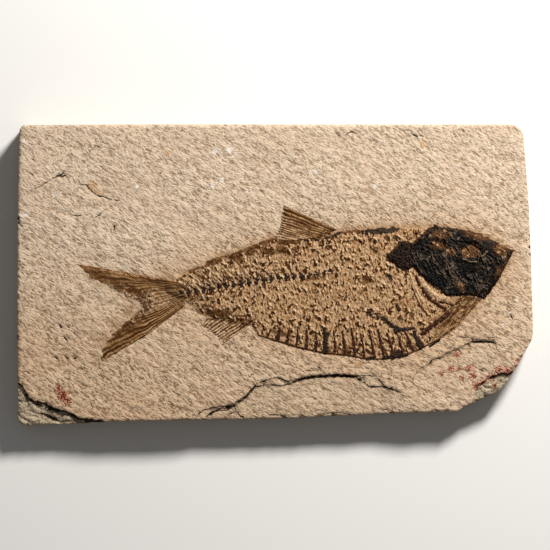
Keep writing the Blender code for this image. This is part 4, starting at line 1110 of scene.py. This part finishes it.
def skull_shape(x, y, ring):
    """The crushed bone: folds round the eye, ridges, and a ragged rim that sinks into the stone."""
    fray = 0.5 * field(x / 1.3, y / 1.3, 90.0) + 0.35 * field(x / 0.5, y / 0.5, 91.0)
    edge = depth_inside(x, y, SKULL_OUTLINE) + fray
    bent_x, bent_y = x + 1.2 * field(x / 3.0, y / 3.0, 92.0), y + 1.2 * field(x / 3.0, y / 3.0, 92.5)
    steep = streaks(bent_x, bent_y, 3.6, 1.0, 93.0, FOLD_ANGLES[0])
    level = streaks(bent_x, bent_y, 3.6, 1.0, 93.5, FOLD_ANGLES[1])
    coarse = np.where(y > 8.5, level, steep)
    close = streaks(bent_x, bent_y, 1.8, 0.5, 94.0, FOLD_ANGLES[0])
    crest_highlight = np.maximum(np.exp(-((coarse / 0.07) ** 2)), 0.7 * np.exp(-((close / 0.1) ** 2)))
    crumbs = field(x / 0.6, y / 0.6, 95.0) + 0.6 * field(x / 0.3, y / 0.3, 96.0)
    loose = ramp(41.5 - x, -1.0, 1.5)  # the patch of black scales has no folds
    busy = 0.25 + 0.95 * ramp(field(x / 3.2, y / 3.2, 97.0), -0.3, 0.3)
    folds = (0.42 * ridged(coarse) + 0.28 * ridged(close)) * busy * (1 - loose) + (0.14 + 0.16 * loose) * crumbs
    lines, tint = np.zeros(np.shape(x)), np.zeros(np.shape(x))
    shift_x, shift_y = 0.25 * field(x / 1.0, y / 1.0, 98.0), 0.25 * field(x / 1.0, y / 1.0, 99.0)
    for line, half, height, pale in SKULL_LINES:
        gap, _ = from_line(x + shift_x, y + shift_y, line)
        profile = np.exp(-((gap / half) ** 2))
        lines += height * profile
        tint = np.where(np.abs(pale) * profile > np.abs(tint), pale * profile, tint)
    eye = np.hypot((x - ORBIT[0]) / ORBIT_HALF[0], (y - ORBIT[1]) / ORBIT_HALF[1])
    eye += 0.3 * field(x / 1.2, y / 1.2, 100.0) + 0.2 * field(x / 0.5, y / 0.5, 101.0)
    socket = -0.35 * ramp(-eye, -1.05, -0.7) + 0.15 * np.exp(-(((eye - 1.2) / 0.16) ** 2))
    across = across_body(x, y)
    dome = SKULL_DOME * np.sqrt(4 * across * (1 - across))
    top = ground_level(x, y) + (SKULL_STEP + dome) * ramp(edge, -0.15, 0.5) + folds + lines + socket
    top -= 0.8 * ramp(-edge, 0.0, 0.4)
    layers = {
        "edge": edge,
        "folds": folds,
        "crest_highlight": crest_highlight * busy * (1 - loose),
        "tint": tint,
        "fleck": spots(x, y, PALE_FLECKS),
        "eye": eye,
        "rust": np.maximum(patches(x, y, RUSTY_PATCHES), 0.16 * loose),
    }
    return x, y, np.where(ring == 0, top, STONE_THICKNESS - BURIED), layers


def black_bone():
    """Glossy black crust with painted blue-grey and brown highlights on the crests of its folds, brown dust on its worn
    parts and a tan eye socket.
    """
    look = Look("black_crust")
    folds, rust = look.layer("folds"), look.layer("rust")
    patch = look.noise(1.3, 0.8, 21, 3.0)
    fine = look.noise(0.42, 0.28, 22, 3.0)
    colour = look.blend(patch.between(0.45, 0.62), paint(2, 2, 2), paint(22, 17, 13))
    brown = (rust * 1.1 + (patch - 0.5) * 1.4 + (fine - 0.5) * 2.0).between(0.15, 0.7)
    colour = look.blend(brown * 0.7, colour, paint(84, 52, 26))
    # Painted highlight: grey-brown and brown on the crests of the folds, standing in for their sheen.
    crest_highlight = (look.layer("crest_highlight") * 1.1 + folds + (fine - 0.5) * 2.0).between(0.45, 0.95)
    colour = look.blend(crest_highlight * 0.75, colour, look.blend(brown, paint(94, 80, 66), paint(146, 106, 68)))
    speckle = (rust * 0.6 + (fine - 0.5) * 3.2 + (patch - 0.5)).between(0.7, 1.0)
    colour = look.blend(speckle * 0.75, colour, paint(176, 134, 90))
    clay = (look.layer("eye").between(1.0, 0.7) * 0.8 + (patch - 0.5) * 1.6 + (fine - 0.5)).between(0.3, 0.7)
    colour = look.blend(clay * 0.6, colour, look.blend(fine.between(0.45, 0.55), paint(30, 17, 9), paint(140, 94, 54)))
    tint = look.layer("tint")
    colour = look.blend((0.0 - tint).between(0.3, 0.8) * 0.95, colour, paint(4, 3, 3))
    fleck = look.layer("fleck") * 1.2 + (fine - 0.5) * 5.0 * look.layer("fleck").between(0.0, 0.2)
    # Pale: the tan flecks, and the raised ridges, whose paleness is partly their own tan and partly painted highlight.
    pale = (tint + fleck + (fine - 0.5) * 1.8).between(0.25, 0.75)
    colour = look.blend(pale * 0.8, colour, look.blend(rust, paint(142, 118, 94), paint(204, 156, 106)))
    rim = (look.layer("edge") + (fine - 0.5)).between(0.25, 0.0)
    colour = look.blend(rim * 0.6, colour, paint(112, 70, 30))
    look.shader.inputs["Specular IOR Level"].default_value = 0.1
    return look.finish(colour, 0.36 + fine * 0.25 + brown * 0.2, fine + patch * 0.5, 0.16)


skull = relief(
    "crushed_skull",
    (32.5, -8.5),
    (73.0, 16.2),
    SKULL_CELL,
    lambda x, y: depth_inside(x, y, SKULL_OUTLINE) > -0.7,
    skull_shape,
)
skull.data.materials.append(black_bone())
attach(skull, "root")
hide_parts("skull")


# The studio: a plain pale floor, a soft lamp at the upper right, a weak even fill, and a camera that
# looks straight down on the slab.

VIEW_WIDTH = 165.0  # what the picture's side spans at the level of the stone's face
CAMERA_HEIGHT = 1500.0
SENSOR = 36.0
LAMP_DISTANCE = 660.0
LAMP_HEADING = math.radians(58)
LAMP_ELEVATION = math.radians(38)

floor_sheet = square_sheet(4, 4)
bmesh.ops.translate(floor_sheet, vec=(-0.5, -0.5, 0), verts=floor_sheet.verts)
bmesh.ops.scale(floor_sheet, vec=(6, 6, 1), verts=floor_sheet.verts)
floor_mesh = bpy.data.meshes.new("floor")
floor_sheet.to_mesh(floor_mesh)
floor_sheet.free()
floor = bpy.data.objects.new("floor", floor_mesh)
bpy.context.scene.collection.objects.link(floor)
floor_look = bpy.data.materials.new("pale_floor")
floor_look.use_nodes = True
floor_look.node_tree.nodes["Principled BSDF"].inputs["Base Color"].default_value = paint(228, 226, 222)
floor_look.node_tree.nodes["Principled BSDF"].inputs["Roughness"].default_value = 0.9
floor.data.materials.append(floor_look)

lamp = bpy.data.lights.new("key_lamp", "AREA")
lamp.shape = "DISK"
lamp.size = 0.14
lamp.energy = 7.4
lamp.color = (1.0, 0.985, 0.96)
lamp_object = bpy.data.objects.new("key_lamp", lamp)
flat_reach = LAMP_DISTANCE * math.cos(LAMP_ELEVATION)
lamp_object.location = (
    flat_reach * math.cos(LAMP_HEADING) * MM,
    flat_reach * math.sin(LAMP_HEADING) * MM,
    LAMP_DISTANCE * math.sin(LAMP_ELEVATION) * MM,
)
lamp_object.rotation_euler = (math.pi / 2 - LAMP_ELEVATION, 0, LAMP_HEADING + math.pi / 2)
bpy.context.scene.collection.objects.link(lamp_object)

world = bpy.data.worlds.new("studio")
world.use_nodes = True
world.node_tree.nodes["Background"].inputs["Color"].default_value = (1.0, 1.0, 1.0, 1.0)
world.node_tree.nodes["Background"].inputs["Strength"].default_value = 0.15
bpy.context.scene.world = world

camera = bpy.data.cameras.new("camera")
camera.sensor_width = SENSOR
camera.lens = SENSOR * (CAMERA_HEIGHT - STONE_THICKNESS) / VIEW_WIDTH
camera.clip_end = 50
camera_object = bpy.data.objects.new("camera", camera)
camera_object.location = (0, 0, CAMERA_HEIGHT * MM)
bpy.context.scene.collection.objects.link(camera_object)
bpy.context.scene.camera = camera_object
bpy.context.scene.view_settings.view_transform = "Standard"
